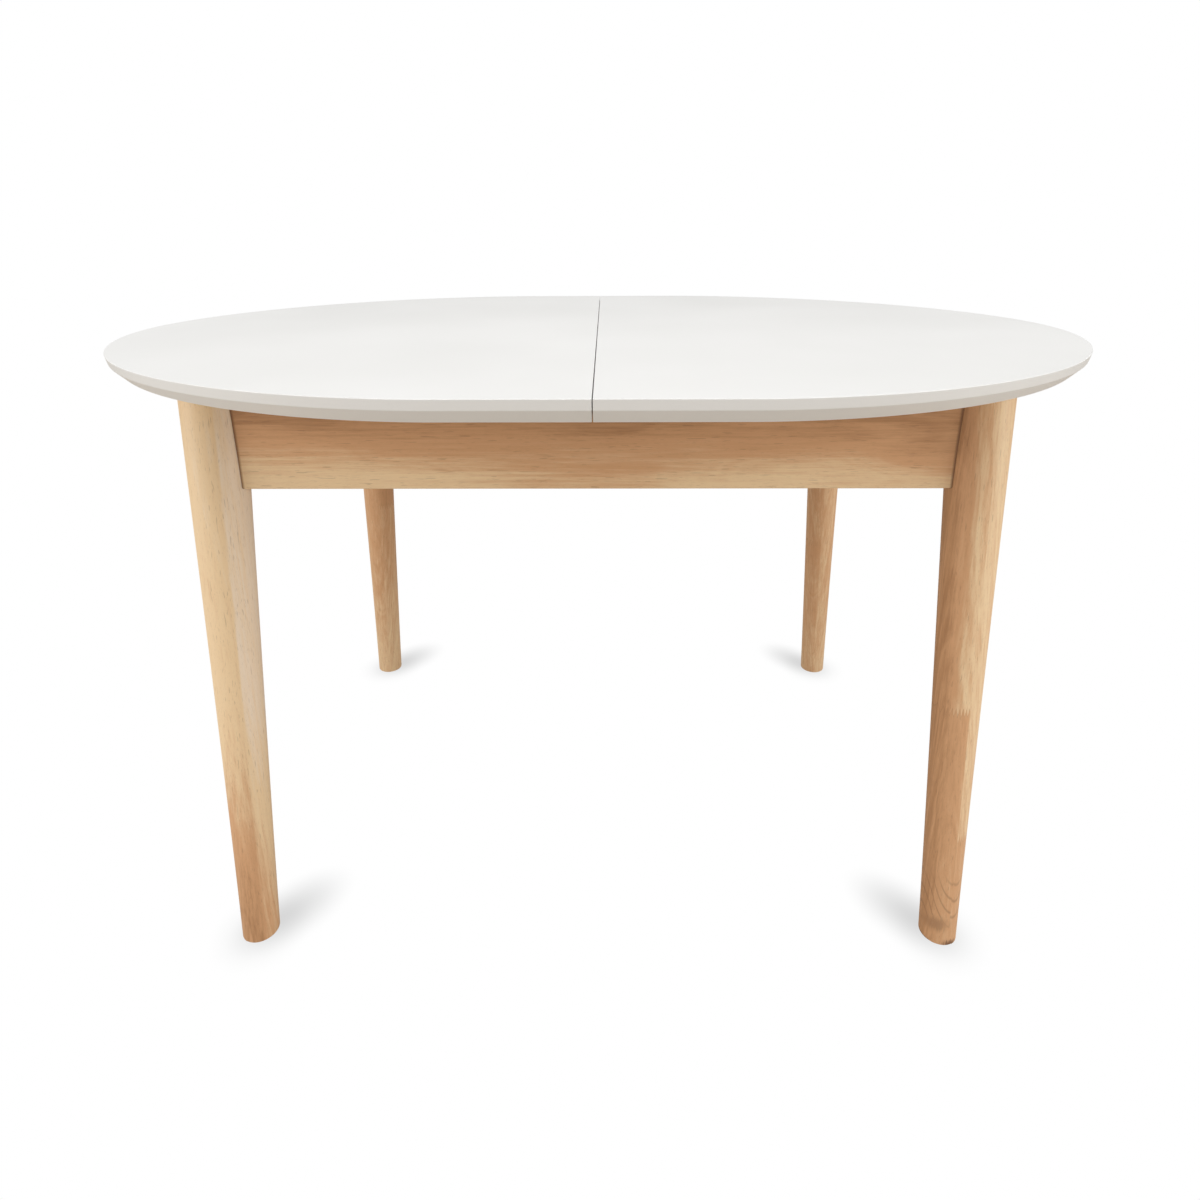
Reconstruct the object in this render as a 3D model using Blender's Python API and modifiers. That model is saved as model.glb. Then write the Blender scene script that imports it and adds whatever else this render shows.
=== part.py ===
"""An oval extension table on four splayed, turned legs.

Two half-tops meet at a seam across the middle and slide apart along X on tongued runners, which ride in
grooved guides inside the fixed apron frame. A leaf in two hinged halves is stored folded under the top.

Metres, +Z up. The origin is on the floor under the middle of the table, X runs along its length, and the
front is at -Y.
"""

import math

import bmesh
import bpy
from mathutils import Matrix, Vector

# Table top
TABLE_HEIGHT = 0.750
TOP_LENGTH = 1.164
TOP_WIDTH = 0.944
STRAIGHT_LENGTH = 0.240  # straight stretch of each long side, half of it on each half-top
END_FULLNESS = 1.88  # exponent of the rounded ends: 2 gives an ellipse
END_STEPS = 56  # straight facets round each end
TOP_THICKNESS = 0.020
RIM_FACE_HEIGHT = 0.009  # the upper, near-vertical band of the edge
RIM_FACE_LEAN = 0.0013
RIM_BEVEL_DEPTH = 0.0102  # how far the undercut goes in below that band
SEAM_GAP = 0.0008

# Extension
STROKE = 0.175  # travel of each half-top
RUNNER_WIDTH = 0.021
RUNNER_HEIGHT = 0.0367
RUNNER_START = 0.004  # inner end, from the middle of the table
TONGUE_DEPTH = 0.012
TONGUE_HEIGHT = 0.011
TONGUE_DROP = 0.0162  # from the top of the runner to the top of its tongue
SLIDE_CLEARANCE = 0.0005
STOP_LENGTH = 0.0205
STOP_WIDTH = 0.020
STOP_HEIGHT = 0.032
GUIDE_HEIGHT = 0.0365
GUIDE_TOP_DROP = 0.0035  # below the underside of the top
LEG_CLEARANCE = 0.0015  # between the tongue and the leg it passes
GUIDE_TO_LEG = 0.006
BATTEN_WIDTH = 0.040
BATTEN_HEIGHT = 0.018
BATTEN_TO_APRON = 0.0205
BATTEN_TO_RIM = 0.050
BATTEN_TIP = 0.015  # length and height of the sloped tips
RUNNER_TO_BATTEN = 0.005

# Frame
APRON_THICKNESS = 0.0215
APRON_TOP_DROP = 0.002
END_OVERHANG = 0.1725  # from the tip of the top to the face of the end apron
LEAF_MARGIN = 0.032  # between the folded leaf and the aprons, on each side
APRON_PROUD = 0.0155  # apron face in front of the leg's axis, at mid-height of the apron
APRON_EDGE_RADIUS = 0.0015
NOTCH_CLEARANCE = 0.002

# Legs
LEG_FOOT_RADIUS = 0.0235
LEG_TOP_RADIUS = 0.0312
LEG_SWELL = 1.35  # exponent of the taper: 1 is a straight cone
LEG_SPLAY_X = 0.107  # outward lean per unit of height
LEG_SPLAY_Y = 0.0932
LEG_TOP_DROP = 0.004
LEG_RINGS = 8
LEG_STEPS = 48
GLIDE_RADIUS = 0.018
GLIDE_THICKNESS = 0.0027

# Corner joints
BLOCK_REACH = 0.060  # inner face of the block, from the leg's axis along the diagonal
BLOCK_SEAT = 0.026  # outer face, before it is scribed to the leg
BLOCK_MARGIN = 0.006  # to the bottom of the apron below and to the guide above
BOLT_RADIUS = 0.004
BOLT_DEPTH = 0.024  # length in the leg
BOLT_BEYOND = 0.012
BOLT_HOLE_CLEARANCE = 0.0005
NUT_ACROSS_FLATS = 0.013
NUT_HEIGHT = 0.0065
NUT_FLANGE_RADIUS = 0.009
NUT_FLANGE_HEIGHT = 0.0015

# Folding leaf and its bearers
LEAF_TO_RUNNER = 0.0048
FOLD_SPACE = 0.0044  # between the undersides of the folded halves
BEARER_WIDTH = 0.050
BEARER_THICKNESS = 0.022
BEARER_RECESS = 0.0015
BEARER_X = 0.135
LUG_HEIGHT = 0.0185
LUG_TO_LEAF = 0.0072
HINGE_X = 0.110
HINGE_PLATE = (0.030, 0.025, 0.0015)
HINGE_RADIUS = 0.0026
HINGE_PIN_RADIUS = 0.0012

# Dowels and table locks
DOWEL_RADIUS = 0.004
DOWEL_IN = 0.0207
DOWEL_OUT = 0.0112
SOCKET_SPARE = 0.0025
LOCK_ARM = 0.046  # from the lever's pivot to the keeper's stud
LOCK_PIVOT_X = 0.024
LOCK_PLATE = (0.036, 0.030, 0.002)
LOCK_HEAD_HEIGHT = 0.0025
LOCK_HEAD_RADIUS = 0.007
LOCK_POST_RADIUS = 0.004
LOCK_BOSS_RADIUS = 0.008
LOCK_BOSS_HEIGHT = 0.0033
LEVER_THICKNESS = 0.0048
LEVER_HALF_WIDTH = 0.009
LEVER_LIP = 0.011  # past the stud
LEVER_SHOULDER = 0.003
LEVER_HANDLE = 0.015
LEVER_HANDLE_HALF_WIDTH = 0.005
LEVER_CLEARANCE = 0.0004
LEVER_TO_APRON = 0.0135  # from the tip of the handle at rest to the apron
LEVER_ARC_STEPS = 12
STUD_RADIUS = 0.003
STUD_HEAD_RADIUS = 0.005
STUD_SLOT_CLEARANCE = 0.0011

GAP = 0.0003  # between pieces that touch
OVERLAP = 0.001  # of shapes that are joined into one piece

# Heights that follow
UNDERSIDE = TABLE_HEIGHT - TOP_THICKNESS
RUNNER_TOP = UNDERSIDE - GAP
RUNNER_BOTTOM = RUNNER_TOP - RUNNER_HEIGHT
TONGUE_TOP = RUNNER_TOP - TONGUE_DROP
TONGUE_BOTTOM = TONGUE_TOP - TONGUE_HEIGHT
GUIDE_TOP = UNDERSIDE - GUIDE_TOP_DROP
GUIDE_BOTTOM = GUIDE_TOP - GUIDE_HEIGHT
APRON_TOP = UNDERSIDE - APRON_TOP_DROP
LEG_TOP = UNDERSIDE - LEG_TOP_DROP
LEG_BOTTOM = GLIDE_THICKNESS + GAP
LEAF_TOP = RUNNER_BOTTOM - LEAF_TO_RUNNER
LOWER_LEAF_TOP = LEAF_TOP - TOP_THICKNESS - FOLD_SPACE
LEAF_BOTTOM = LOWER_LEAF_TOP - TOP_THICKNESS
BEARER_TOP = LEAF_BOTTOM - GAP
BEARER_BOTTOM = BEARER_TOP - BEARER_THICKNESS
APRON_BOTTOM = BEARER_BOTTOM - BEARER_RECESS
APRON_MIDDLE = (APRON_TOP + APRON_BOTTOM) / 2
BLOCK_BOTTOM = APRON_BOTTOM + BLOCK_MARGIN
BLOCK_TOP = GUIDE_BOTTOM - BLOCK_MARGIN
BOLT_HEIGHT = (BLOCK_BOTTOM + BLOCK_TOP) / 2

# Places across the table, as distances from the middle
RIM_UNDERCUT = RIM_FACE_LEAN + RIM_BEVEL_DEPTH
APRON_INSIDE_Y = TOP_WIDTH / 4 + LEAF_MARGIN
APRON_FACE_Y = APRON_INSIDE_Y + APRON_THICKNESS
APRON_FACE_X = TOP_LENGTH / 2 - END_OVERHANG
APRON_INSIDE_X = APRON_FACE_X - APRON_THICKNESS
LEG_MIDDLE_X = APRON_FACE_X - APRON_PROUD
LEG_MIDDLE_Y = APRON_FACE_Y - APRON_PROUD
BATTEN_START = APRON_FACE_X + BATTEN_TO_APRON
RUNNER_END = BATTEN_START - RUNNER_TO_BATTEN
LEAF_HALF_WIDTH = STROKE - SEAM_GAP / 2
LEAF_LENGTH = TOP_WIDTH / 2 - SEAM_GAP / 2
FOLD_Y = LEAF_LENGTH / 2
LUG_INSIDE_Y = FOLD_Y + LUG_TO_LEAF
DOWEL_Y = TOP_WIDTH / 4
LOCK_Y = APRON_FACE_Y + LEVER_TO_APRON + LOCK_ARM + LEVER_LIP + LEVER_HANDLE
GUIDE_START = RUNNER_START + STOP_LENGTH + STROKE + SLIDE_CLEARANCE
HOLE_RADIUS = DOWEL_RADIUS + GAP

SIDES = {"left": -1, "right": 1}
FACES = {"front": -1, "back": 1}
# Turns an outline in Y and Z so that it is drawn along X
ALONG_X = Matrix(((0, 0, 1, 0), (1, 0, 0, 0), (0, 1, 0, 0), (0, 0, 0, 1)))


def leg_axis(z):
    """Distances in X and Y of a leg's axis from the middle, at height z."""
    rise = APRON_MIDDLE - z
    return LEG_MIDDLE_X + LEG_SPLAY_X * rise, LEG_MIDDLE_Y + LEG_SPLAY_Y * rise


TONGUE_OUTSIDE_Y = leg_axis(LEG_TOP)[1] - LEG_TOP_RADIUS - LEG_CLEARANCE
RUNNER_OUTSIDE_Y = TONGUE_OUTSIDE_Y - TONGUE_DEPTH
RUNNER_INSIDE_Y = RUNNER_OUTSIDE_Y - RUNNER_WIDTH
GUIDE_END = leg_axis(LEG_TOP)[0] - LEG_TOP_RADIUS - GUIDE_TO_LEG


def clear_scene():
    for obj in list(bpy.data.objects):
        bpy.data.objects.remove(obj, do_unlink=True)


def make_collection(name, hidden=False):
    collection = bpy.data.collections.new(name)
    bpy.context.scene.collection.children.link(collection)
    collection.hide_render = hidden
    return collection


def make_material(name, colour, roughness, metallic=0.0):
    material = bpy.data.materials.new(name)
    material.use_nodes = True
    shader = material.node_tree.nodes["Principled BSDF"]
    shader.inputs["Base Color"].default_value = (*colour, 1.0)
    shader.inputs["Roughness"].default_value = roughness
    shader.inputs["Metallic"].default_value = metallic
    material.diffuse_color = (*colour, 1.0)
    return material


clear_scene()
TABLE = make_collection("oval_extension_table")
CUTTERS = make_collection("cutters", hidden=True)
LACQUER = make_material("white_lacquer", (0.91, 0.90, 0.87), 0.35)
RUBBERWOOD = make_material("rubberwood", (0.62, 0.40, 0.23), 0.5)
BEECH = make_material("beech", (0.70, 0.50, 0.32), 0.6)
STEEL = make_material("zinc_plated_steel", (0.66, 0.67, 0.68), 0.35, 1.0)
FELT = make_material("felt", (0.10, 0.08, 0.07), 0.95)


def add_object(name, mesh, material=None, matrix=None):
    """A visible piece if it has a material, and a hidden cutter or helper if it has none."""
    obj = bpy.data.objects.new(name, mesh)
    if matrix is not None:
        obj.matrix_world = matrix
    if material is None:
        CUTTERS.objects.link(obj)
        obj.hide_render = True
        obj.display_type = "WIRE"
    else:
        TABLE.objects.link(obj)
        mesh.materials.append(material)
    return obj


def add_empty(name, location):
    empty = bpy.data.objects.new(name, None)
    empty.location = location
    TABLE.objects.link(empty)
    return empty


def attach(empty, *pieces):
    """Parents the pieces to the empty where they stand."""
    for piece in pieces:
        piece.parent = empty
        piece.matrix_parent_inverse = Matrix.Translation(-empty.location)


def box(name, low, high, material=None):
    """A box between two corners, given in any order."""
    low, high = Vector(low), Vector(high)
    shape = bmesh.new()
    bmesh.ops.create_cube(shape, size=1.0)
    bmesh.ops.scale(shape, vec=[abs(b - a) for a, b in zip(low, high)], verts=shape.verts)
    mesh = bpy.data.meshes.new(name)
    shape.to_mesh(mesh)
    shape.free()
    return add_object(name, mesh, material, Matrix.Translation((low + high) / 2))


def rod(name, start, end, radius, material=None, sides=24):
    """A cylinder between two points on its axis."""
    start, end = Vector(start), Vector(end)
    shape = bmesh.new()
    bmesh.ops.create_cone(
        shape, cap_ends=True, segments=sides, radius1=radius, radius2=radius, depth=(end - start).length
    )
    mesh = bpy.data.meshes.new(name)
    shape.to_mesh(mesh)
    shape.free()
    turn = (end - start).to_track_quat("Z", "X").to_matrix().to_4x4()
    obj = add_object(name, mesh, material, Matrix.Translation((start + end) / 2) @ turn)
    mesh.shade_smooth()
    mesh.set_sharp_from_angle(angle=math.radians(35))
    return obj


def prism(name, outline, thickness, matrix, material=None):
    """A flat outline in the matrix's X and Y, drawn to a thickness centred on its plane."""
    curve = bpy.data.curves.new(name, "CURVE")
    curve.dimensions = "2D"
    curve.fill_mode = "BOTH"
    curve.extrude = thickness / 2
    spline = curve.splines.new("POLY")
    spline.points.add(len(outline) - 1)
    for point, (x, y) in zip(spline.points, outline):
        point.co = (x, y, 0, 1)
    spline.use_cyclic_u = True
    guide = bpy.data.objects.new(name + "_outline", curve)
    CUTTERS.objects.link(guide)
    bpy.context.view_layer.update()
    mesh = bpy.data.meshes.new_from_object(guide.evaluated_get(bpy.context.evaluated_depsgraph_get()))
    bpy.data.objects.remove(guide)
    shape = bmesh.new()
    shape.from_mesh(mesh)
    bmesh.ops.remove_doubles(shape, verts=shape.verts, dist=1e-5)
    bmesh.ops.recalc_face_normals(shape, faces=shape.faces)
    bmesh.ops.dissolve_limit(shape, angle_limit=0.001, verts=shape.verts, edges=shape.edges)
    shape.to_mesh(mesh)
    shape.free()
    mesh.name = name
    return add_object(name, mesh, material, matrix)


def prism_along_x(name, outline, start, end, material=None):
    """An outline in Y and Z, drawn from one X to another."""
    middle = Matrix.Translation(((start + end) / 2, 0, 0))
    return prism(name, outline, abs(end - start), middle @ ALONG_X, material)


def loft(name, rings, material):
    """A solid through closed rings of equal length, from the bottom ring up."""
    shape = bmesh.new()
    loops = [[shape.verts.new(point) for point in ring] for ring in rings]
    for below, above in zip(loops, loops[1:]):
        for i in range(len(below)):
            j = (i + 1) % len(below)
            shape.faces.new((below[i], below[j], above[j], above[i]))
    shape.faces.new(reversed(loops[0]))
    shape.faces.new(loops[-1])
    bmesh.ops.recalc_face_normals(shape, faces=shape.faces)
    mesh = bpy.data.meshes.new(name)
    shape.to_mesh(mesh)
    shape.free()
    return add_object(name, mesh, material)


def boolean(obj, other, operation="DIFFERENCE"):
    modifier = obj.modifiers.new(operation.lower(), "BOOLEAN")
    modifier.object = other
    modifier.operation = operation
    modifier.solver = "EXACT"


def round_edges(obj, width):
    modifier = obj.modifiers.new("rounding", "BEVEL")
    modifier.width = width
    modifier.segments = 2
    modifier.limit_method = "ANGLE"


def oval_point(angle, inset):
    """A point of the right-hand end of the top's outline, moved in along its normal."""
    reach = (TOP_LENGTH - STRAIGHT_LENGTH) / 2
    half = TOP_WIDTH / 2
    u = max(math.cos(angle), 0.0) ** (2 / END_FULLNESS)
    v = math.copysign(abs(math.sin(angle)) ** (2 / END_FULLNESS), angle)
    normal = Vector((u ** (END_FULLNESS - 1) / reach, math.copysign(abs(v) ** (END_FULLNESS - 1), v) / half))
    normal.normalize()
    return STRAIGHT_LENGTH / 2 + reach * u - inset * normal.x, half * v - inset * normal.y


def oval_half_width(x):
    """Half the width of the top at a distance x from the middle, past the straight stretch."""
    share = (x - STRAIGHT_LENGTH / 2) / ((TOP_LENGTH - STRAIGHT_LENGTH) / 2)
    return TOP_WIDTH / 2 * (1 - share**END_FULLNESS) ** (1 / END_FULLNESS)


def half_top(side):
    """One half-top: its rounded end, two straight stretches and the square seam edge."""
    name = f"{side}_half_top"
    levels = (
        (UNDERSIDE, RIM_UNDERCUT),
        (TABLE_HEIGHT - RIM_FACE_HEIGHT, RIM_FACE_LEAN),
        (TABLE_HEIGHT, 0.0),
    )
    rings = []
    for z, inset in levels:
        angles = [math.pi * (i / END_STEPS - 0.5) for i in range(END_STEPS + 1)]
        points = [oval_point(angle, inset) for angle in angles]
        seam_y = TOP_WIDTH / 2 - inset
        points = [(SEAM_GAP / 2, -seam_y), *points, (SEAM_GAP / 2, seam_y)]
        rings.append([(SIDES[side] * x, y, z) for x, y in points])
    top = loft(name, rings, LACQUER)
    depth = DOWEL_IN + GAP if side == "left" else DOWEL_OUT + SOCKET_SPARE
    for face, y_side in FACES.items():
        y, z = y_side * DOWEL_Y, TABLE_HEIGHT - TOP_THICKNESS / 2
        start = (-SIDES[side] * OVERLAP, y, z)
        end = (SIDES[side] * (SEAM_GAP / 2 + depth), y, z)
        boolean(top, rod(f"{name}_{face}_dowel_hole", start, end, HOLE_RADIUS))
    return top


def seam_dowel(face):
    y, z = FACES[face] * DOWEL_Y, TABLE_HEIGHT - TOP_THICKNESS / 2
    start = (-SEAM_GAP / 2 - DOWEL_IN, y, z)
    return rod(f"{face}_seam_dowel", start, (SEAM_GAP / 2 + DOWEL_OUT, y, z), DOWEL_RADIUS, BEECH)


def runner(side, face):
    """A rail under a half-top, with a tongue on its outer side. The tongue stops short of the stop block."""
    y_side = FACES[face]
    outline = [
        (RUNNER_INSIDE_Y, RUNNER_BOTTOM),
        (RUNNER_OUTSIDE_Y, RUNNER_BOTTOM),
        (RUNNER_OUTSIDE_Y, TONGUE_BOTTOM),
        (TONGUE_OUTSIDE_Y, TONGUE_BOTTOM),
        (TONGUE_OUTSIDE_Y, TONGUE_TOP),
        (RUNNER_OUTSIDE_Y, TONGUE_TOP),
        (RUNNER_OUTSIDE_Y, RUNNER_TOP),
        (RUNNER_INSIDE_Y, RUNNER_TOP),
    ]
    outline = [(y_side * y, z) for y, z in outline]
    name = f"{side}_{face}_runner"
    rail = prism_along_x(name, outline, SIDES[side] * RUNNER_START, SIDES[side] * RUNNER_END, BEECH)
    cutter = box(
        name + "_tongue_end",
        (0, y_side * RUNNER_OUTSIDE_Y, TONGUE_BOTTOM - OVERLAP),
        (
            SIDES[side] * (RUNNER_START + STOP_LENGTH + GAP),
            y_side * (TONGUE_OUTSIDE_Y + OVERLAP),
            TONGUE_TOP + OVERLAP,
        ),
    )
    boolean(rail, cutter)
    return rail


def stop_block(side, face):
    """It meets the inner end of the guide when the half-top is fully out."""
    start = RUNNER_OUTSIDE_Y + GAP
    middle = (GUIDE_TOP + GUIDE_BOTTOM) / 2
    return box(
        f"{side}_{face}_runner_stop",
        (SIDES[side] * RUNNER_START, FACES[face] * start, middle - STOP_HEIGHT / 2),
        (
            SIDES[side] * (RUNNER_START + STOP_LENGTH),
            FACES[face] * (start + STOP_WIDTH),
            middle + STOP_HEIGHT / 2,
        ),
        BEECH,
    )


def guide(side, face):
    """A grooved block on the inside of a long apron, which holds the runner's tongue up and down."""
    inside = RUNNER_OUTSIDE_Y + SLIDE_CLEARANCE
    groove = TONGUE_OUTSIDE_Y + SLIDE_CLEARANCE
    outline = [
        (inside, GUIDE_BOTTOM),
        (APRON_INSIDE_Y - GAP, GUIDE_BOTTOM),
        (APRON_INSIDE_Y - GAP, GUIDE_TOP),
        (inside, GUIDE_TOP),
        (inside, TONGUE_TOP + SLIDE_CLEARANCE),
        (groove, TONGUE_TOP + SLIDE_CLEARANCE),
        (groove, TONGUE_BOTTOM - SLIDE_CLEARANCE),
        (inside, TONGUE_BOTTOM - SLIDE_CLEARANCE),
    ]
    outline = [(FACES[face] * y, z) for y, z in outline]
    start, end = SIDES[side] * GUIDE_START, SIDES[side] * GUIDE_END
    return prism_along_x(f"{side}_{face}_guide", outline, start, end, BEECH)


def batten(side):
    """A cross batten that keeps the half-top flat, with sloped tips."""
    top, bottom = RUNNER_TOP, RUNNER_TOP - BATTEN_HEIGHT
    half = oval_half_width(BATTEN_START + BATTEN_WIDTH) - RIM_UNDERCUT - BATTEN_TO_RIM
    tip = bottom + BATTEN_TIP / 2
    outline = [(-half, top), (-half, tip), (-half + BATTEN_TIP, bottom)]
    outline += [(-y, z) for y, z in reversed(outline)]
    start, end = SIDES[side] * BATTEN_START, SIDES[side] * (BATTEN_START + BATTEN_WIDTH)
    return prism_along_x(f"{side}_batten", outline, start, end, BEECH)


def turned_leg(name, side, face, material=None, grow=0.0):
    """A leg turned about its own axis and leaned outwards. It runs past both ends, to be cut level."""
    foot = Vector((*leg_axis(0.0), 0.0))
    head = Vector((*leg_axis(LEG_TOP), LEG_TOP))
    axis = (head - foot).normalized()
    length = (head - foot).length
    spare = LEG_TOP_RADIUS
    heights = [length * (1 - i / LEG_RINGS) for i in range(LEG_RINGS + 1)]
    profile = [(LEG_TOP_RADIUS, length + spare)]
    swell = LEG_TOP_RADIUS - LEG_FOOT_RADIUS
    profile += [(LEG_FOOT_RADIUS + swell * (s / length) ** LEG_SWELL, s) for s in heights]
    profile += [(LEG_FOOT_RADIUS, -spare)]
    profile = [(0.0, length + spare), *[(r + grow, s) for r, s in profile], (0.0, -spare)]
    mesh = bpy.data.meshes.new(name)
    edges = [(i, i + 1) for i in range(len(profile) - 1)]
    mesh.from_pydata([(r, 0, s) for r, s in profile], edges, [])
    mirror = Vector((SIDES[side], FACES[face], 1))
    turn = (axis * mirror).to_track_quat("Z", "X").to_matrix().to_4x4()
    obj = add_object(name, mesh, material, Matrix.Translation(foot * mirror) @ turn)
    screw = obj.modifiers.new("turning", "SCREW")
    screw.steps = screw.render_steps = LEG_STEPS
    screw.use_merge_vertices = True
    screw.merge_threshold = 0.0001
    return obj


def corner_point(side, face, reach):
    """A point at the bolt's height on the inward diagonal of a corner, at a distance from the leg's axis."""
    x, y = leg_axis(BOLT_HEIGHT)
    inward = reach * math.sqrt(0.5)
    return Vector((SIDES[side] * (x - inward), FACES[face] * (y - inward), BOLT_HEIGHT))


def bolt_start():
    """The place on the diagonal, from the leg's axis, where the bolt starts inside the leg."""
    radius = LEG_FOOT_RADIUS + (LEG_TOP_RADIUS - LEG_FOOT_RADIUS) * (BOLT_HEIGHT / LEG_TOP) ** LEG_SWELL
    return radius - BOLT_DEPTH


def leg(side, face):
    name = f"{face}_{side}_leg"
    post = turned_leg(name, side, face, RUBBERWOOD)
    span = 4 * LEG_TOP_RADIUS
    for end, z, way in (("foot", LEG_BOTTOM, -1), ("top", LEG_TOP, 1)):
        x, y = leg_axis(z)
        x, y = SIDES[side] * x, FACES[face] * y
        corner = (x + span, y + span, z + way * span)
        boolean(post, box(f"{name}_{end}_cut", (x - span, y - span, z), corner))
    start = bolt_start() - GAP
    hole = rod(
        name + "_bolt_hole",
        corner_point(side, face, start),
        corner_point(side, face, BLOCK_REACH),
        BOLT_RADIUS + GAP,
    )
    boolean(post, hole)
    return post


def glide(side, face):
    x, y = leg_axis(0.0)
    x, y = SIDES[side] * x, FACES[face] * y
    return rod(f"{face}_{side}_glide", (x, y, 0), (x, y, GLIDE_THICKNESS), GLIDE_RADIUS, FELT, 32)


def scribe(piece, side, face):
    """Cuts a piece to the round of a leg."""
    cutter_name = f"{piece.name}_{face}_{side}_scribe"
    boolean(piece, turned_leg(cutter_name, side, face, grow=GAP))


def long_apron(face):
    """The front or back apron. Its ends stop on the legs' axes, inside the scribed cut."""
    y_side = FACES[face]
    half = LEG_MIDDLE_X
    apron = box(
        f"{face}_apron",
        (-half, y_side * APRON_INSIDE_Y, APRON_BOTTOM),
        (half, y_side * APRON_FACE_Y, APRON_TOP),
        RUBBERWOOD,
    )
    round_edges(apron, APRON_EDGE_RADIUS)
    for side in SIDES:
        scribe(apron, side, face)
    return apron


def end_apron(side):
    """The left or right apron, stepped down at both ends so that the runners pass over it."""
    half, notch = LEG_MIDDLE_Y, RUNNER_INSIDE_Y - NOTCH_CLEARANCE
    step = GUIDE_BOTTOM
    outline = [(half, APRON_BOTTOM), (half, step), (notch, step), (notch, APRON_TOP)]
    outline += [(-y, z) for y, z in reversed(outline)]
    start, end = SIDES[side] * APRON_INSIDE_X, SIDES[side] * APRON_FACE_X
    apron = prism_along_x(f"{side}_end_apron", outline, start, end, RUBBERWOOD)
    round_edges(apron, APRON_EDGE_RADIUS)
    for face in FACES:
        scribe(apron, side, face)
    return apron


def corner_block(side, face):
    """A block across the corner, scribed to the leg, with a hole for the hanger bolt."""
    name = f"{face}_{side}_corner_block"
    x, y = leg_axis(BOLT_HEIGHT)
    wall_x, wall_y = APRON_INSIDE_X - GAP, APRON_INSIDE_Y - GAP
    seat, reach = BLOCK_SEAT * math.sqrt(2), BLOCK_REACH * math.sqrt(2)
    outline = [
        (wall_x, x + y - seat - wall_x),
        (x + y - seat - wall_y, wall_y),
        (x + y - reach - wall_y, wall_y),
        (wall_x, x + y - reach - wall_x),
    ]
    outline = [(SIDES[side] * px, FACES[face] * py) for px, py in outline]
    place = Matrix.Translation((0, 0, BOLT_HEIGHT))
    block = prism(name, outline, BLOCK_TOP - BLOCK_BOTTOM, place, BEECH)
    scribe(block, side, face)
    hole = rod(
        name + "_hole",
        corner_point(side, face, 0.0),
        corner_point(side, face, BLOCK_REACH + BOLT_BEYOND),
        BOLT_RADIUS + BOLT_HOLE_CLEARANCE,
    )
    boolean(block, hole)
    return block


def hanger_bolt(side, face):
    start = corner_point(side, face, bolt_start())
    end = corner_point(side, face, BLOCK_REACH + BOLT_BEYOND)
    return rod(f"{face}_{side}_hanger_bolt", start, end, BOLT_RADIUS, STEEL)


def flange_nut(side, face):
    name = f"{face}_{side}_flange_nut"
    seat = BLOCK_REACH + GAP
    ends = [corner_point(side, face, seat + step) for step in (0, NUT_FLANGE_HEIGHT, NUT_HEIGHT)]
    nut = rod(name, ends[0], ends[2], NUT_ACROSS_FLATS / math.sqrt(3), STEEL, 6)
    boolean(nut, rod(name + "_flange", ends[0], ends[1], NUT_FLANGE_RADIUS), "UNION")
    hole = rod(
        name + "_bore",
        corner_point(side, face, seat - OVERLAP),
        corner_point(side, face, seat + NUT_HEIGHT + OVERLAP),
        BOLT_RADIUS + GAP,
    )
    boolean(nut, hole)
    return nut


def bearer(side):
    """A cross rail that carries the folded leaf, with a lug at each end that keeps the leaf in place."""
    wall = APRON_INSIDE_Y - GAP
    outline = [
        (wall, BEARER_BOTTOM),
        (wall, BEARER_TOP + LUG_HEIGHT),
        (LUG_INSIDE_Y, BEARER_TOP + LUG_HEIGHT),
        (LUG_INSIDE_Y, BEARER_TOP),
    ]
    outline += [(-y, z) for y, z in reversed(outline)]
    start = SIDES[side] * (BEARER_X - BEARER_WIDTH / 2)
    end = SIDES[side] * (BEARER_X + BEARER_WIDTH / 2)
    return prism_along_x(f"{side}_leaf_bearer", outline, start, end, BEECH)


def leaf_half(level):
    """Half of the folding leaf: square at the fold, with the rim's section at its free end."""
    up = 1 if level == "upper" else -1
    underside = LEAF_TOP - TOP_THICKNESS if level == "upper" else LOWER_LEAF_TOP
    show = underside + up * TOP_THICKNESS
    free = FOLD_Y - LEAF_LENGTH
    outline = [
        (FOLD_Y, underside),
        (FOLD_Y, show),
        (free, show),
        (free + RIM_FACE_LEAN, show - up * RIM_FACE_HEIGHT),
        (free + RIM_UNDERCUT, underside),
    ]
    name = f"{level}_leaf"
    leaf = prism_along_x(name, outline, -LEAF_HALF_WIDTH, LEAF_HALF_WIDTH, LACQUER)
    y, z = leaf_dowel_place(level)
    for side, depth in (("left", DOWEL_OUT + SOCKET_SPARE), ("right", DOWEL_IN + GAP)):
        start = (SIDES[side] * (LEAF_HALF_WIDTH + OVERLAP), y, z)
        end = (SIDES[side] * (LEAF_HALF_WIDTH - depth), y, z)
        boolean(leaf, rod(f"{name}_{side}_dowel_hole", start, end, HOLE_RADIUS))
    return leaf


def leaf_dowel_place(level):
    """Y and Z of the dowel in a folded leaf half. It lines up with the seam dowels when unfolded."""
    y = FOLD_Y - (DOWEL_Y - SEAM_GAP / 2)
    z = LEAF_TOP - TOP_THICKNESS / 2 if level == "upper" else LEAF_BOTTOM + TOP_THICKNESS / 2
    return y, z


def leaf_dowel(level):
    y, z = leaf_dowel_place(level)
    start = (LEAF_HALF_WIDTH - DOWEL_IN, y, z)
    return rod(f"{level}_leaf_dowel", start, (LEAF_HALF_WIDTH + DOWEL_OUT, y, z), DOWEL_RADIUS, BEECH)


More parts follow.
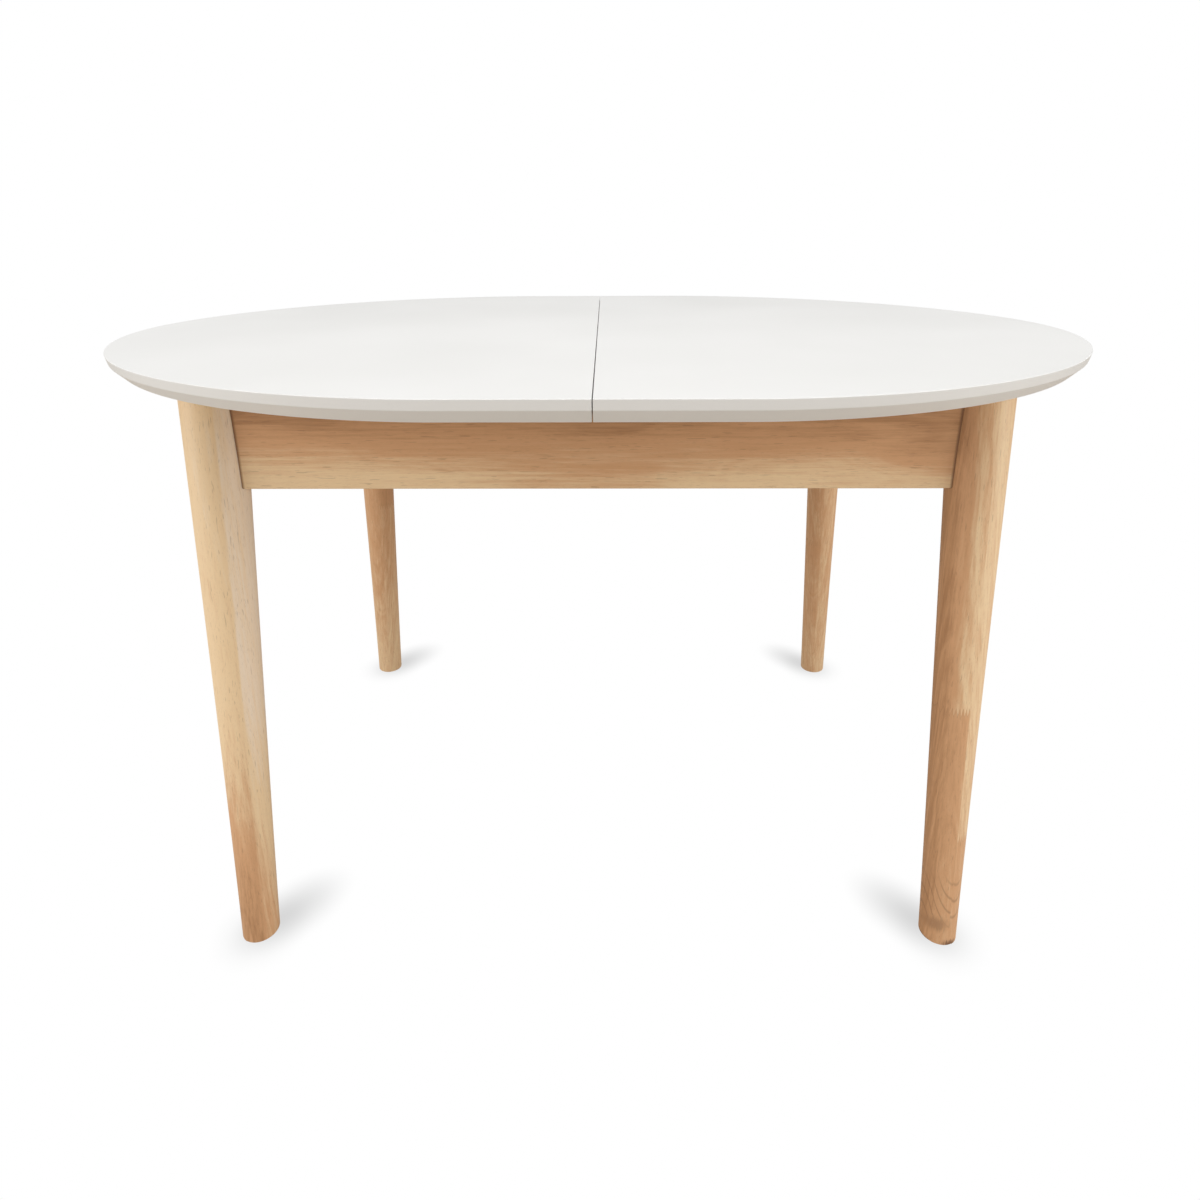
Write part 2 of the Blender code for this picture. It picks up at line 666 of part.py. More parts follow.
def leaf_hinge(side):
    """A hinge between the undersides of the folded halves: a plate with two knuckles and the pin, and a
    plate with one bored knuckle between them."""
    x = SIDES[side] * HINGE_X
    length, width, thickness = HINGE_PLATE
    y = FOLD_Y + GAP + HINGE_RADIUS
    z = LOWER_LEAF_TOP + FOLD_SPACE / 2
    third = length / 3
    pieces = []
    for level, up in (("lower", -1), ("upper", 1)):
        name = f"{side}_leaf_hinge_{level}"
        outside = z + up * (FOLD_SPACE / 2 - GAP)
        low = (x - length / 2, y - width, outside - up * thickness)
        high = (x + length / 2, y - HINGE_RADIUS / 2, outside)
        plate = box(name, low, high, STEEL)
        spans = [(-1.5, -0.5), (0.5, 1.5)] if level == "lower" else [(-0.5, 0.5)]
        free = [(-0.5, 0.5)] if level == "lower" else [(-1.5, -0.5), (0.5, 1.5)]
        for number, (start, end) in enumerate(free):
            gap_box = box(
                f"{name}_gap_{number}",
                (x + start * third - GAP, y - HINGE_RADIUS - 2 * GAP, z - HINGE_RADIUS),
                (x + end * third + GAP, y + HINGE_RADIUS, z + HINGE_RADIUS),
            )
            boolean(plate, gap_box)
        for number, (start, end) in enumerate(spans):
            inset = GAP if level == "upper" else 0
            knuckle = rod(
                f"{name}_knuckle_{number}",
                (x + start * third + inset, y, z),
                (x + end * third - inset, y, z),
                HINGE_RADIUS,
            )
            boolean(plate, knuckle, "UNION")
        pin_radius = HINGE_PIN_RADIUS + (GAP if level == "upper" else 0)
        reach = third if level == "lower" else length
        pin = rod(f"{name}_pin", (x - reach, y, z), (x + reach, y, z), pin_radius, sides=12)
        boolean(plate, pin, "UNION" if level == "lower" else "DIFFERENCE")
        pieces.append(plate)
    return pieces


def lock_levels():
    """Heights of a table lock, from its screwed plate down: plate top, plate bottom, boss bottom, lever
    top, lever bottom, head top, head bottom."""
    plate_top = UNDERSIDE - GAP
    plate_bottom = plate_top - LOCK_PLATE[2]
    boss_bottom = plate_bottom - LOCK_BOSS_HEIGHT
    lever_top = boss_bottom - LEVER_CLEARANCE
    lever_bottom = lever_top - LEVER_THICKNESS
    head_top = lever_bottom - LEVER_CLEARANCE
    head_bottom = head_top - LOCK_HEAD_HEIGHT
    return plate_top, plate_bottom, boss_bottom, lever_top, lever_bottom, head_top, head_bottom


def lock_plate(name, x, y):
    length, width, _ = LOCK_PLATE
    plate_top, plate_bottom = lock_levels()[:2]
    low = (x - length / 2, y - width / 2, plate_bottom)
    return box(name, low, (x + length / 2, y + width / 2, plate_top), STEEL)


def lock_base(face):
    """Screwed under the left half-top: a plate, a boss, the post the lever turns on, and its head."""
    name, y = f"{face}_lock_base", FACES[face] * LOCK_Y
    _, plate_bottom, boss_bottom, _, _, head_top, head_bottom = lock_levels()
    plate = lock_plate(name, -LOCK_PIVOT_X, y)
    shafts = (
        ("boss", boss_bottom, plate_bottom + OVERLAP, LOCK_BOSS_RADIUS),
        ("post", head_bottom + OVERLAP, plate_bottom + OVERLAP / 2, LOCK_POST_RADIUS),
        ("head", head_bottom, head_top, LOCK_HEAD_RADIUS),
    )
    for part, low, high, radius in shafts:
        helper = rod(f"{name}_{part}", (-LOCK_PIVOT_X, y, low), (-LOCK_PIVOT_X, y, high), radius)
        boolean(plate, helper, "UNION")
    return plate


def lock_keeper(face):
    """Screwed under the right half-top: a plate and the headed stud that the lever hooks round."""
    name, x, y = f"{face}_lock_keeper", LOCK_ARM - LOCK_PIVOT_X, FACES[face] * LOCK_Y
    _, plate_bottom, _, _, _, head_top, head_bottom = lock_levels()
    plate = lock_plate(name, SEAM_GAP + LOCK_PIVOT_X, y)
    shafts = (
        ("stud", head_bottom + OVERLAP, plate_bottom + OVERLAP, STUD_RADIUS),
        ("head", head_bottom, head_top, STUD_HEAD_RADIUS),
    )
    for part, low, high, radius in shafts:
        helper = rod(f"{name}_{part}", (x, y, low), (x, y, high), radius)
        boolean(plate, helper, "UNION")
    return plate


def lock_lever(face):
    """A hooked lever. At rest it points in from the rim, and it swings a quarter turn across the seam."""
    name = f"{face}_lock_lever"
    _, _, _, lever_top, lever_bottom, _, _ = lock_levels()
    slot = STUD_RADIUS + STUD_SLOT_CLEARANCE
    end, tip = LOCK_ARM + LEVER_LIP, LOCK_ARM + LEVER_LIP + LEVER_HANDLE
    wide, narrow = LEVER_HALF_WIDTH, LEVER_HANDLE_HALF_WIDTH
    half_turn = [math.pi * i / LEVER_ARC_STEPS for i in range(LEVER_ARC_STEPS + 1)]
    notch = [(LOCK_ARM - slot * math.cos(a), slot * math.sin(a)) for a in half_turn]
    hub = [(-wide * math.sin(a), wide * math.cos(a)) for a in half_turn]
    outline = [
        *hub,
        (LOCK_ARM - slot, -wide),
        *notch,
        (LOCK_ARM + slot, -wide),
        (end, -wide),
        (end + LEVER_SHOULDER, -narrow),
        (tip, -narrow),
        (tip, narrow),
        (end + LEVER_SHOULDER, narrow),
        (end, wide),
    ]
    outline = [(-y, -FACES[face] * x) for x, y in outline]
    middle = Vector((-LOCK_PIVOT_X, FACES[face] * LOCK_Y, (lever_top + lever_bottom) / 2))
    lever = prism(name, outline, LEVER_THICKNESS, Matrix.Translation(middle), STEEL)
    through = Vector((0, 0, LEVER_THICKNESS))
    bore = rod(name + "_bore", middle - through, middle + through, LOCK_POST_RADIUS + LEVER_CLEARANCE)
    boolean(lever, bore)
    return lever


def build():
    frame = add_empty("frame", (0, 0, 0))
    slides = {side: add_empty(f"{side}_top_slide", (0, 0, UNDERSIDE)) for side in SIDES}
    for side in SIDES:
        attach(slides[side], half_top(side), batten(side))
        attach(frame, end_apron(side), bearer(side), *leaf_hinge(side))
        for face in FACES:
            attach(slides[side], runner(side, face), stop_block(side, face))
            attach(frame, guide(side, face), leg(side, face), glide(side, face))
            attach(frame, corner_block(side, face), hanger_bolt(side, face), flange_nut(side, face))
    for face in FACES:
        attach(frame, long_apron(face))
        attach(slides["left"], seam_dowel(face), lock_base(face))
        attach(slides["right"], lock_keeper(face))
        lever = lock_lever(face)
        pivot = add_empty(f"{face}_lock_pivot", lever.matrix_world.translation)
        attach(pivot, lever)
    for level in ("lower", "upper"):
        attach(frame, leaf_half(level), leaf_dowel(level))


build()
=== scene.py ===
# %% [markdown]
# # An oval extension table
#
# A painted oval top in two halves, on a rubberwood frame with four turned, splayed legs. The two halves
# slide apart on beech runners, and a folded leaf lies under them. The packed model is the fixed frame of
# this scene: every place below is read from its nodes, so nothing has to be fitted by eye.

# %% The frame
import math

import bmesh
import bpy
from bmesh.types import BMEdge, BMFace, BMVert
from mathutils import Matrix, Vector


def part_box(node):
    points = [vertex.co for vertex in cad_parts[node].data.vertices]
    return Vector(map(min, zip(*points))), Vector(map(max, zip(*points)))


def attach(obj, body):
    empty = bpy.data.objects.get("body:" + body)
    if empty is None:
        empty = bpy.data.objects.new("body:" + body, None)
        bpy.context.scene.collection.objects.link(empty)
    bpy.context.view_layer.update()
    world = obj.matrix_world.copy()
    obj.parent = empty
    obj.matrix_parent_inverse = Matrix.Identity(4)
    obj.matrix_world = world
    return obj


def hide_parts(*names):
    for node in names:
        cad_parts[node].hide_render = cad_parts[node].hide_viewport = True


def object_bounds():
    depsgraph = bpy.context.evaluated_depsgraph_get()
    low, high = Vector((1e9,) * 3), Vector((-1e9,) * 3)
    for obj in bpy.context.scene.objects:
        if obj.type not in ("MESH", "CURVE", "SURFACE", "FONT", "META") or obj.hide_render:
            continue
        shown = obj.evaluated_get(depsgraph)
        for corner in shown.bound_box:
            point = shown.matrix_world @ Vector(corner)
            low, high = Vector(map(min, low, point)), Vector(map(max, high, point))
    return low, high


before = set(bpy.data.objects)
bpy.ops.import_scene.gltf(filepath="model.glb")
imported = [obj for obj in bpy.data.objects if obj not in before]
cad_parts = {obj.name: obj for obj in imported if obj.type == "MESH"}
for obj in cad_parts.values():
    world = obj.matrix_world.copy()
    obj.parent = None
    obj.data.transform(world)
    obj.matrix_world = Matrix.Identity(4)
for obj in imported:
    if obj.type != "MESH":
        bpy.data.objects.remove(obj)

scene = bpy.context.scene

cad_low, cad_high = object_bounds()
print("the table measures", [round(b - a, 3) for a, b in zip(cad_low, cad_high)], "metres")

# %% [markdown]
# ## The camera
#
# A wide lens, close to the table and a little above it, makes the near legs look long. The view is turned
# with one matrix: first a small roll, then the tilt, then the turn.

# %% The camera
lens = bpy.data.cameras.new("camera")
lens.sensor_width = 36.0
lens.lens = 21.6
camera = bpy.data.objects.new("camera", lens)
tilt = Matrix.Rotation(math.radians(62.84), 4, "X")
turn = Matrix.Rotation(0.0081, 4, "Z")
roll = Matrix.Rotation(-0.0036, 4, "Z")
camera.matrix_world = Matrix.Translation((0.0097, -1.0131, 0.8607)) @ turn @ tilt @ roll
scene.collection.objects.link(camera)
scene.camera = camera
print("the lens is", lens.lens, "mm on a", lens.sensor_width, "mm sensor")

# %% [markdown]
# ## Mixing a finish
#
# Every finish below is a recipe of nodes. This class keeps it readable: each call adds one node, feeds it
# values or the results of earlier calls, and hands back its output. Patterns are laid out in metres, so a
# scale of 1000 means one millimetre.

# %% A recipe for a finish
class Recipe:
    """A material that is being mixed. Each step returns the socket that holds its result."""

    def __init__(self, name):
        self.material = bpy.data.materials.new(name)
        self.material.use_nodes = True
        self.tree = self.material.node_tree
        self.shader = self.tree.nodes["Principled BSDF"]

    def feed(self, socket, value):
        if isinstance(value, bpy.types.NodeSocket):
            self.tree.links.new(value, socket)
        else:
            socket.default_value = value

    def step(self, kind, values, output=0, **settings):
        node = self.tree.nodes.new("ShaderNode" + kind)
        for name, value in settings.items():
            setattr(node, name, value)
        for socket, value in values.items():
            self.feed(node.inputs[socket], value)
        return node.outputs[output]

    def work_out(self, operation, *values):
        return self.step("Math", dict(enumerate(values)), operation=operation)

    def add(self, *values):
        return self.work_out("ADD", *values)

    def subtract(self, *values):
        return self.work_out("SUBTRACT", *values)

    def multiply(self, *values):
        return self.work_out("MULTIPLY", *values)

    def stretch(self, places, x, y, z):
        return self.step("VectorMath", {0: places, 1: (x, y, z)}, operation="MULTIPLY")

    def cloud(self, places, log=0.0, detail=2.0, roughness=0.5):
        """Soft noise between 0 and 1, of about one unit's size. Each log gives another pattern."""
        values = {"Vector": places, "W": log, "Scale": 1.0, "Detail": detail, "Roughness": roughness}
        return self.step("TexNoise", values, noise_dimensions="4D")

    def speckle(self, scale, **how):
        """Noise of the same scale in every direction, fixed to the piece it is on."""
        places = self.step("TexCoord", {}, output=3)
        return self.cloud(self.stretch(places, scale, scale, scale), **how)

    def between(self, value, low, high, to_low=0.0, to_high=1.0):
        """Spreads what lies between low and high over another range, and cuts off the rest."""
        ends = {"From Min": low, "From Max": high, "To Min": to_low, "To Max": to_high}
        return self.step("MapRange", {"Value": value, **ends}, interpolation_type="SMOOTHSTEP")

    def tint(self, share, colour, other):
        values = {0: share, 6: colour, 7: other}
        return self.step("Mix", values, output=2, data_type="RGBA")

    def relief(self, height, depth):
        """A bump whose height of 0 to 1 stands for a depth in metres."""
        return self.step("Bump", {"Height": height, "Distance": depth})

    def finish(self, **values):
        for name, value in values.items():
            self.feed(self.shader.inputs[name.replace("_", " ")], value)
        return self.material


print("a recipe knows these steps:", [name for name in vars(Recipe) if not name.startswith("_")])

# %% [markdown]
# ## The studio
#
# The table stands in a white studio, cut out on white as in a catalogue. The floor and the sky are white
# to the eye, with only a soft shadow painted at each foot. To the table they are dimmer and a little warm,
# so that its edge and its underside are shaded. Light Path tells the two apart. A wide lamp overhead
# lights the top more than the edges, and a soft lamp at each side in front rounds the legs.

# %% The studio floor
FLOOR_REACH = 30.0
FOOT_X, FOOT_Y = 0.466, 0.337
SHADOW_TURN = math.radians(130)
SHADOWS = (
    # shift from the foot, length, width, depth
    ((-0.032, 0.034), 0.100, 0.062, 0.25),
    ((0.0, 0.0), 0.074, 0.074, 0.13),
)

floor_shape = bmesh.new()
bmesh.ops.create_grid(floor_shape, x_segments=1, y_segments=1, size=FLOOR_REACH)
floor_mesh = bpy.data.meshes.new("studio_floor")
floor_shape.to_mesh(floor_mesh)
floor_shape.free()
floor = bpy.data.objects.new("studio_floor", floor_mesh)
scene.collection.objects.link(floor)

paper = Recipe("white_paper")
seen = paper.step("LightPath", {})
split = paper.step("SeparateXYZ", {0: paper.step("TexCoord", {}, output=3)})
places = paper.step("CombineXYZ", {0: paper.work_out("ABSOLUTE", split), 1: split.node.outputs[1]})
light = 1.0
for foot_y in (-FOOT_Y, FOOT_Y):
    for (shift_x, shift_y), length, width, depth in SHADOWS:
        middle = (FOOT_X + shift_x, foot_y + shift_y, 0.0)
        spot = {"Vector": places, "Location": middle, "Rotation": (0.0, 0.0, SHADOW_TURN)}
        spot["Scale"] = (length, width, 1.0)
        spot = paper.step("Mapping", spot, vector_type="TEXTURE")
        away = paper.step("VectorMath", {0: spot}, output=1, operation="LENGTH")
        light = paper.subtract(light, paper.between(away, 0.0, 1.0, depth, 0.0))
floor_mesh.materials.append(
    paper.finish(
        Base_Color=paper.tint(seen, (0.52, 0.46, 0.39, 1.0), (0.0, 0.0, 0.0, 1.0)),
        Roughness=1.0,
        Specular_IOR_Level=0.0,
        Emission_Color=(1.0, 1.0, 1.0, 1.0),
        Emission_Strength=paper.multiply(seen, light),
    )
)
print("the floor is", 2 * FLOOR_REACH, "metres wide")

# %% The studio light
SKY_TO_THE_EYE = 1.0
SKY_TO_THE_TABLE = 0.55

world = bpy.data.worlds.new("studio")
world.use_nodes = True
sky = world.node_tree.nodes["Background"]
sky.inputs["Color"].default_value = (1.0, 1.0, 1.0, 1.0)
seen = world.node_tree.nodes.new("ShaderNodeLightPath")
level = world.node_tree.nodes.new("ShaderNodeMapRange")
level.inputs["To Min"].default_value = SKY_TO_THE_TABLE
level.inputs["To Max"].default_value = SKY_TO_THE_EYE
world.node_tree.links.new(seen.outputs["Is Camera Ray"], level.inputs["Value"])
world.node_tree.links.new(level.outputs["Result"], sky.inputs["Strength"])
scene.world = world
scene.view_settings.view_transform = "Standard"


def hang_lamp(name, place, aim, width, watts):
    """A square soft lamp that points at a place."""
    light = bpy.data.lights.new(name, "AREA")
    light.size = width
    light.energy = watts
    lamp = bpy.data.objects.new(name, light)
    lamp.location = place
    lamp.rotation_euler = (Vector(aim) - Vector(place)).to_track_quat("-Z", "Y").to_euler()
    scene.collection.objects.link(lamp)
    return lamp


table_middle = (Vector(cad_low) + Vector(cad_high)) / 2
hang_lamp("overhead_lamp", (0.0, -0.5, 2.9), (0.0, -0.1, 0.4), 2.4, 32.0)
hang_lamp("left_lamp", (-2.8, -1.4, 1.3), table_middle, 1.4, 32.0)
hang_lamp("right_lamp", (2.8, -1.4, 1.3), table_middle, 1.4, 32.0)

# %% [markdown]
# ## Setting a piece down
#
# Every finished piece goes through the same hands. Its flat faces are shaded flat and its rounded edges
# smooth, it gets its finish, it is told which part of the table it moves with, and the plain solid it
# stands for is hidden. A wooden piece also gets two layers: `grain`, its places measured along, across and
# into the plank, and `log`, a number that gives each plank its own figure.

# %% Setting a piece down
SHARP = math.radians(38)
logs_cut = 0


def set_down(shape, name, material, body, stands_for=(), grain=None):
    """Turns a shape into a finished piece of the table."""
    global logs_cut
    bmesh.ops.recalc_face_normals(shape, faces=shape.faces)
    for face in shape.faces:
        face.smooth = True
    for edge in shape.edges:
        edge.smooth = len(edge.link_faces) == 2 and edge.calc_face_angle() < SHARP
    open_edges = sum(not edge.is_manifold for edge in shape.edges)
    mesh = bpy.data.meshes.new(name)
    shape.to_mesh(mesh)
    shape.free()
    mesh.materials.append(material)
    if grain is not None:
        logs_cut += 1
        layer = mesh.attributes.new("grain", "FLOAT_VECTOR", "POINT")
        for vertex, value in zip(mesh.vertices, layer.data):
            value.vector = grain @ vertex.co
        layer = mesh.attributes.new("log", "FLOAT", "POINT")
        for value in layer.data:
            value.value = 3.7 * logs_cut
    piece = bpy.data.objects.new(name, mesh)
    scene.collection.objects.link(piece)
    piece.modifiers.new("flat_faces", "WEIGHTED_NORMAL").keep_sharp = True
    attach(piece, body)
    if stands_for:
        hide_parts(*stands_for)
    print(name, len(mesh.polygons), "faces,", open_edges, "open edges")


def grain_along(along, face, middle=(0.0, 0.0, 0.0)):
    """Turns places on the table into places in a plank: x along its grain, y across it, z into it."""
    x, z = Vector(along).normalized(), Vector(face).normalized()
    return Matrix((x, z.cross(x), z)).to_4x4() @ Matrix.Translation(-Vector(middle))


def turned_to(direction):
    """A turn that takes the Z axis to a direction."""
    return Vector(direction).to_track_quat("Z", "Y").to_matrix().to_4x4()


def weld(shape, reach=1e-6):
    bmesh.ops.remove_doubles(shape, verts=shape.verts, dist=reach)


SIDES = {"left": -1, "right": 1}
FACES = {"front": -1, "back": 1}
CORNERS = [(side, face) for side in SIDES for face in FACES]


def middle_of(node):
    low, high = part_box(node)
    return (Vector(low) + Vector(high)) / 2


print("the front apron's middle is at", [round(x, 3) for x in middle_of("front_apron")])

# %% [markdown]
# ## White lacquer
#
# The top is a smooth board under a satin, slightly warm white lacquer. Sprayed lacquer is never quite
# flat: it has a faint orange peel of a few millimetres, a slow drift in its tone and sheen, and a few
# specks of dust. All of that is kept very weak.

# %% White lacquer
def mix_lacquer():
    lacquer = Recipe("satin_white_lacquer")
    drift = lacquer.speckle(4.0, detail=3.0)
    peel = lacquer.speckle(420.0, detail=1.0)
    dust = lacquer.speckle(1500.0, detail=1.0)
    share = lacquer.between(drift, 0.3, 0.7)
    colour = lacquer.tint(share, (0.845, 0.838, 0.815, 1.0), (0.865, 0.858, 0.838, 1.0))
    specks = lacquer.between(dust, 0.74, 0.82, 0.0, 0.12)
    colour = lacquer.tint(specks, colour, (0.55, 0.53, 0.50, 1.0))
    return lacquer.finish(
        Base_Color=colour,
        Roughness=lacquer.between(drift, 0.2, 0.8, 0.34, 0.42),
        Normal=lacquer.relief(peel, 0.00003),
        IOR=1.48,
    )


LACQUER = mix_lacquer()
print(LACQUER.name, "has", len(LACQUER.node_tree.nodes), "nodes")

# %% [markdown]
# ## Rubberwood
#
# Rubberwood is straw-coloured with a pink tinge. It comes in short, narrow staves, so parts are glued up
# from strips that differ a little in tone, with comb-like finger joints where two lengths meet. Three
# things make it look real: the soft bands of the yearly growth, the streaks of the fibres, and the pores,
# dark dashes a few millimetres long. The bands come from the distance to the heart of the trunk, which
# wanders slowly along the plank.

# %% The figure of a plank
PALE = (0.93, 0.77, 0.60, 1.0)
STRAW = (0.90, 0.67, 0.41, 1.0)
TAN = (0.70, 0.395, 0.205, 1.0)
BROWN = (0.45, 0.23, 0.105, 1.0)
UMBER = (0.22, 0.11, 0.055, 1.0)


def plank_layers(wood):
    """The places in the plank and the number of its log."""
    places = wood.step("Attribute", {}, output=1, attribute_name="grain")
    return places, wood.step("Attribute", {}, output=2, attribute_name="log")


def draw_figure(wood, places, log, ring_gap, heart, lean):
    """The growth bands, fibres and pores of a plank, each as a number between 0 and 1."""
    slow = wood.cloud(wood.stretch(places, 3.0, 14.0, 14.0), log, detail=2.0)
    split = wood.step("SeparateXYZ", {0: places})
    x, y, z = split, split.node.outputs[1], split.node.outputs[2]
    wander = wood.multiply(wood.subtract(slow, 0.5), 0.03)
    y = wood.add(wood.add(y, heart[0]), wander)
    z = wood.add(wood.add(z, heart[1]), wander)
    y = wood.add(y, wood.multiply(x, lean))
    across = wood.step("CombineXYZ", {0: y, 1: z})
    radius = wood.step("VectorMath", {0: across}, output=1, operation="LENGTH")
    turns = wood.work_out("DIVIDE", radius, ring_gap)
    bands = wood.cloud(wood.step("CombineXYZ", {0: turns}), log, detail=3.0, roughness=0.6)
    fibres = wood.cloud(wood.stretch(places, 11.0, 330.0, 330.0), log, detail=4.0, roughness=0.7)
    fine = wood.cloud(wood.stretch(places, 170.0, 2300.0, 2300.0), log, detail=0.0)
    long = wood.cloud(wood.stretch(places, 75.0, 900.0, 900.0), log, detail=0.0)
    short_pores = wood.between(fine, 0.66, 0.74, 0.0, 0.6)
    pores = wood.work_out("MAXIMUM", short_pores, wood.between(long, 0.70, 0.78))
    return bands, fibres, pores, slow


print("a straw stave is", STRAW[:3], "and a brown one", BROWN[:3])

# %% [markdown]
# A finger joint is a zigzag across the grain. A triangle wave of the place across the plank, added to the
# place along it, bends a straight line into such a comb. Comparing the result with the height of the joint
# tells which of the two lengths a point belongs to. Arches near a foot, painted shade in the groove where
# a board meets a leg, and single marks are each a number between 0 and 1, and the darkest of them tints
# the wood.

# %% Rubberwood
FINGER_PITCH = 0.0036
FINGER_LENGTH = 0.011
RING_GAP = 0.0045
ARCH_BOW = 90.0
ARCH_WIDTH = 0.0044
ARCH_START = (0.018, 0.045)
ARCH_DARKNESS = 0.40
# width and darkness of the painted shade in the groove where a board meets a leg
GROOVE_SHADE_WIDTH = (0.0008, 0.0036)
GROOVE_SHADE_DARKNESS = 0.85
SEAM_WIDTH = 0.0016
SEAM_DARKNESS = 0.30
LEG_FOOT_RADIUS = 0.0235
LEG_TOP_RADIUS = 0.0312
LEG_SWELL = 1.35


def draw_arches(wood, x, y, slow, top, pitch, middle):
    """Dark arches near the foot, where the lathe cuts through the rings at a slant."""
    off = wood.subtract(y, middle)
    bow = wood.multiply(wood.multiply(off, off), ARCH_BOW)
    drift = wood.multiply(wood.subtract(slow, 0.5), 2.5 * pitch)
    line = wood.work_out("PINGPONG", wood.add(wood.subtract(x, bow), drift), pitch / 2)
    faded = wood.between(x, top, 1.4 * top, ARCH_DARKNESS, 0.0)
    faded = wood.multiply(faded, wood.between(x, *ARCH_START))
    return wood.multiply(wood.between(line, 0.0, ARCH_WIDTH, 1.0, 0.0), faded)


def draw_groove_shade(wood, foot, head):
    """Painted shade in the groove where a board meets a leg. All four legs are folded onto the right back
    one.
    """
    places = wood.step("VectorMath", {0: wood.step("TexCoord", {}, output=3)}, operation="ABSOLUTE")
    away = wood.step("VectorMath", {0: places, 1: foot}, operation="SUBTRACT")
    axis = (head - foot).normalized()
    along = wood.step("VectorMath", {0: away, 1: axis}, output=1, operation="DOT_PRODUCT")
    middle = wood.step("VectorMath", {0: axis, 3: along}, operation="SCALE")
    off = wood.step("VectorMath", {0: away, 1: middle}, output=1, operation="DISTANCE")
    share = wood.work_out("DIVIDE", along, (head - foot).length)
    share = wood.work_out("POWER", share, LEG_SWELL)
    swell = wood.multiply(share, LEG_TOP_RADIUS - LEG_FOOT_RADIUS)
    gap = wood.subtract(wood.subtract(off, swell), LEG_FOOT_RADIUS)
    return wood.between(gap, *GROOVE_SHADE_WIDTH, GROOVE_SHADE_DARKNESS, 0.0)


def mix_rubberwood(
    name, strips=(((0.3,), ()),), glue_lines=(), fade_and_shade=None, foot=0.0, heart=(0.05, 0.09), lean=0.0,
    arches=None, marks=(), groove=None,
):
    """Rubberwood of one or more strips, each (tones of its lengths, heights of the joints between them).

    A glue line is (place, softness), a fade_and_shade is (place, place, tone, tone) across the plank, the
    wood's tone with painted shade in it, foot adds a tone towards the lower end, and a mark is (place,
    radius, length, darkness)."""
    wood = Recipe(name)
    places, log = plank_layers(wood)
    split = wood.step("SeparateXYZ", {0: places})
    x, y = split, split.node.outputs[1]
    comb = wood.work_out("PINGPONG", y, FINGER_PITCH / 2)
    comb = wood.multiply(comb, FINGER_LENGTH / (FINGER_PITCH / 2))
    combed = wood.add(x, comb)
    tone, seam = 0.0, 0.0
    for number, (tones, joints) in enumerate(strips):
        strip_tone, strip_seam = tones[0], 0.0
        for height, next_tone in zip(joints, tones[1:]):
            above = wood.work_out("GREATER_THAN", combed, height)
            strip_tone = wood.step("Mix", {0: above, 2: strip_tone, 3: next_tone})
            off = wood.work_out("ABSOLUTE", wood.subtract(combed, height))
            strip_seam = wood.between(off, 0.0, SEAM_WIDTH, SEAM_DARKNESS, 0.0)
        beyond = 1.0
        if number > 0:
            line, softness = glue_lines[number - 1]
            beyond = wood.between(y, line - softness, line + softness)
            other_log = wood.work_out("GREATER_THAN", y, line)
            log = wood.add(log, wood.multiply(other_log, 31.0))
        tone = wood.step("Mix", {0: beyond, 2: tone, 3: strip_tone})
        seam = wood.step("Mix", {0: beyond, 2: seam, 3: strip_seam})
    bands, fibres, pores, slow = draw_figure(wood, places, log, RING_GAP, heart, lean)
    # darker towards one edge of the plank: partly the wood's tone, partly painted shade under the top's
    # overhang
    if fade_and_shade is not None:
        drift = wood.multiply(wood.subtract(slow, 0.5), 0.05)
        tone = wood.between(wood.add(y, drift), *fade_and_shade)
    for source, *spread in (
        (x, 0.0, 0.42, foot, 0.0),
        (slow, 0.25, 0.75, -0.08, 0.08),
        (bands, 0.3, 0.7, -0.09, 0.13),
        (fibres, 0.25, 0.75, -0.17, 0.17),
    ):
        tone = wood.add(tone, wood.between(source, *spread))
    colour = PALE
    for low, high, darker in ((-0.7, -0.1, STRAW), (-0.1, 0.55, TAN), (0.5, 1.1, BROWN)):
        colour = wood.tint(wood.between(tone, low, high), colour, darker)
    spots = [wood.multiply(pores, 0.26), seam]
    if arches is not None:
        spots.append(draw_arches(wood, x, y, slow, *arches))
    # painted shade in the groove where a board meets a leg
    if groove is not None:
        spots.append(draw_groove_shade(wood, *groove))
    for place, radius, length, darkness in marks:
        away = wood.step("VectorMath", {0: places, 1: place}, operation="SUBTRACT")
        away = wood.stretch(away, 1 / length, 1.0, 1.0)
        away = wood.step("VectorMath", {0: away}, output=1, operation="LENGTH")
        ragged = wood.add(away, wood.between(fibres, 0.3, 0.7, 0.0, 0.6 * radius))
        spots.append(wood.between(ragged, 0.6 * radius, 1.3 * radius, darkness, 0.0))
    dark = 0.0
    for spot in spots:
        dark = wood.work_out("MAXIMUM", dark, spot)
    colour = wood.tint(dark, colour, UMBER)
    height = wood.subtract(wood.multiply(fibres, 0.35), pores)
    return wood.finish(
        Base_Color=colour,
        Roughness=wood.between(bands, 0.2, 0.8, 0.44, 0.56),
        Normal=wood.relief(height, 0.00006),
        IOR=1.45,
    )


print("a finger is", 1000 * FINGER_LENGTH, "mm long")

# %% [markdown]
# ## The two half-tops
#
# The top is one oval board, cut across the middle. Starting from a round disc, each point of its edge is
# moved out onto the oval: two rounded ends joined by short straight stretches. The underside comes from
# two insets of the lower face, which go down as they go in: first the nearly upright band of the edge,
# then the long undercut that makes the board look thin. A plane then cuts the board at the seam.

# %% The oval board
TOP_STRAIGHT = 0.240
END_FULLNESS = 1.88
RIM_STEPS = 256
RIM_LEAN = 0.0013
RIM_FACE = 0.009
RIM_UNDERCUT = 0.0102
TOP_ARRIS = 0.0008
RIM_ARRIS = 0.0005

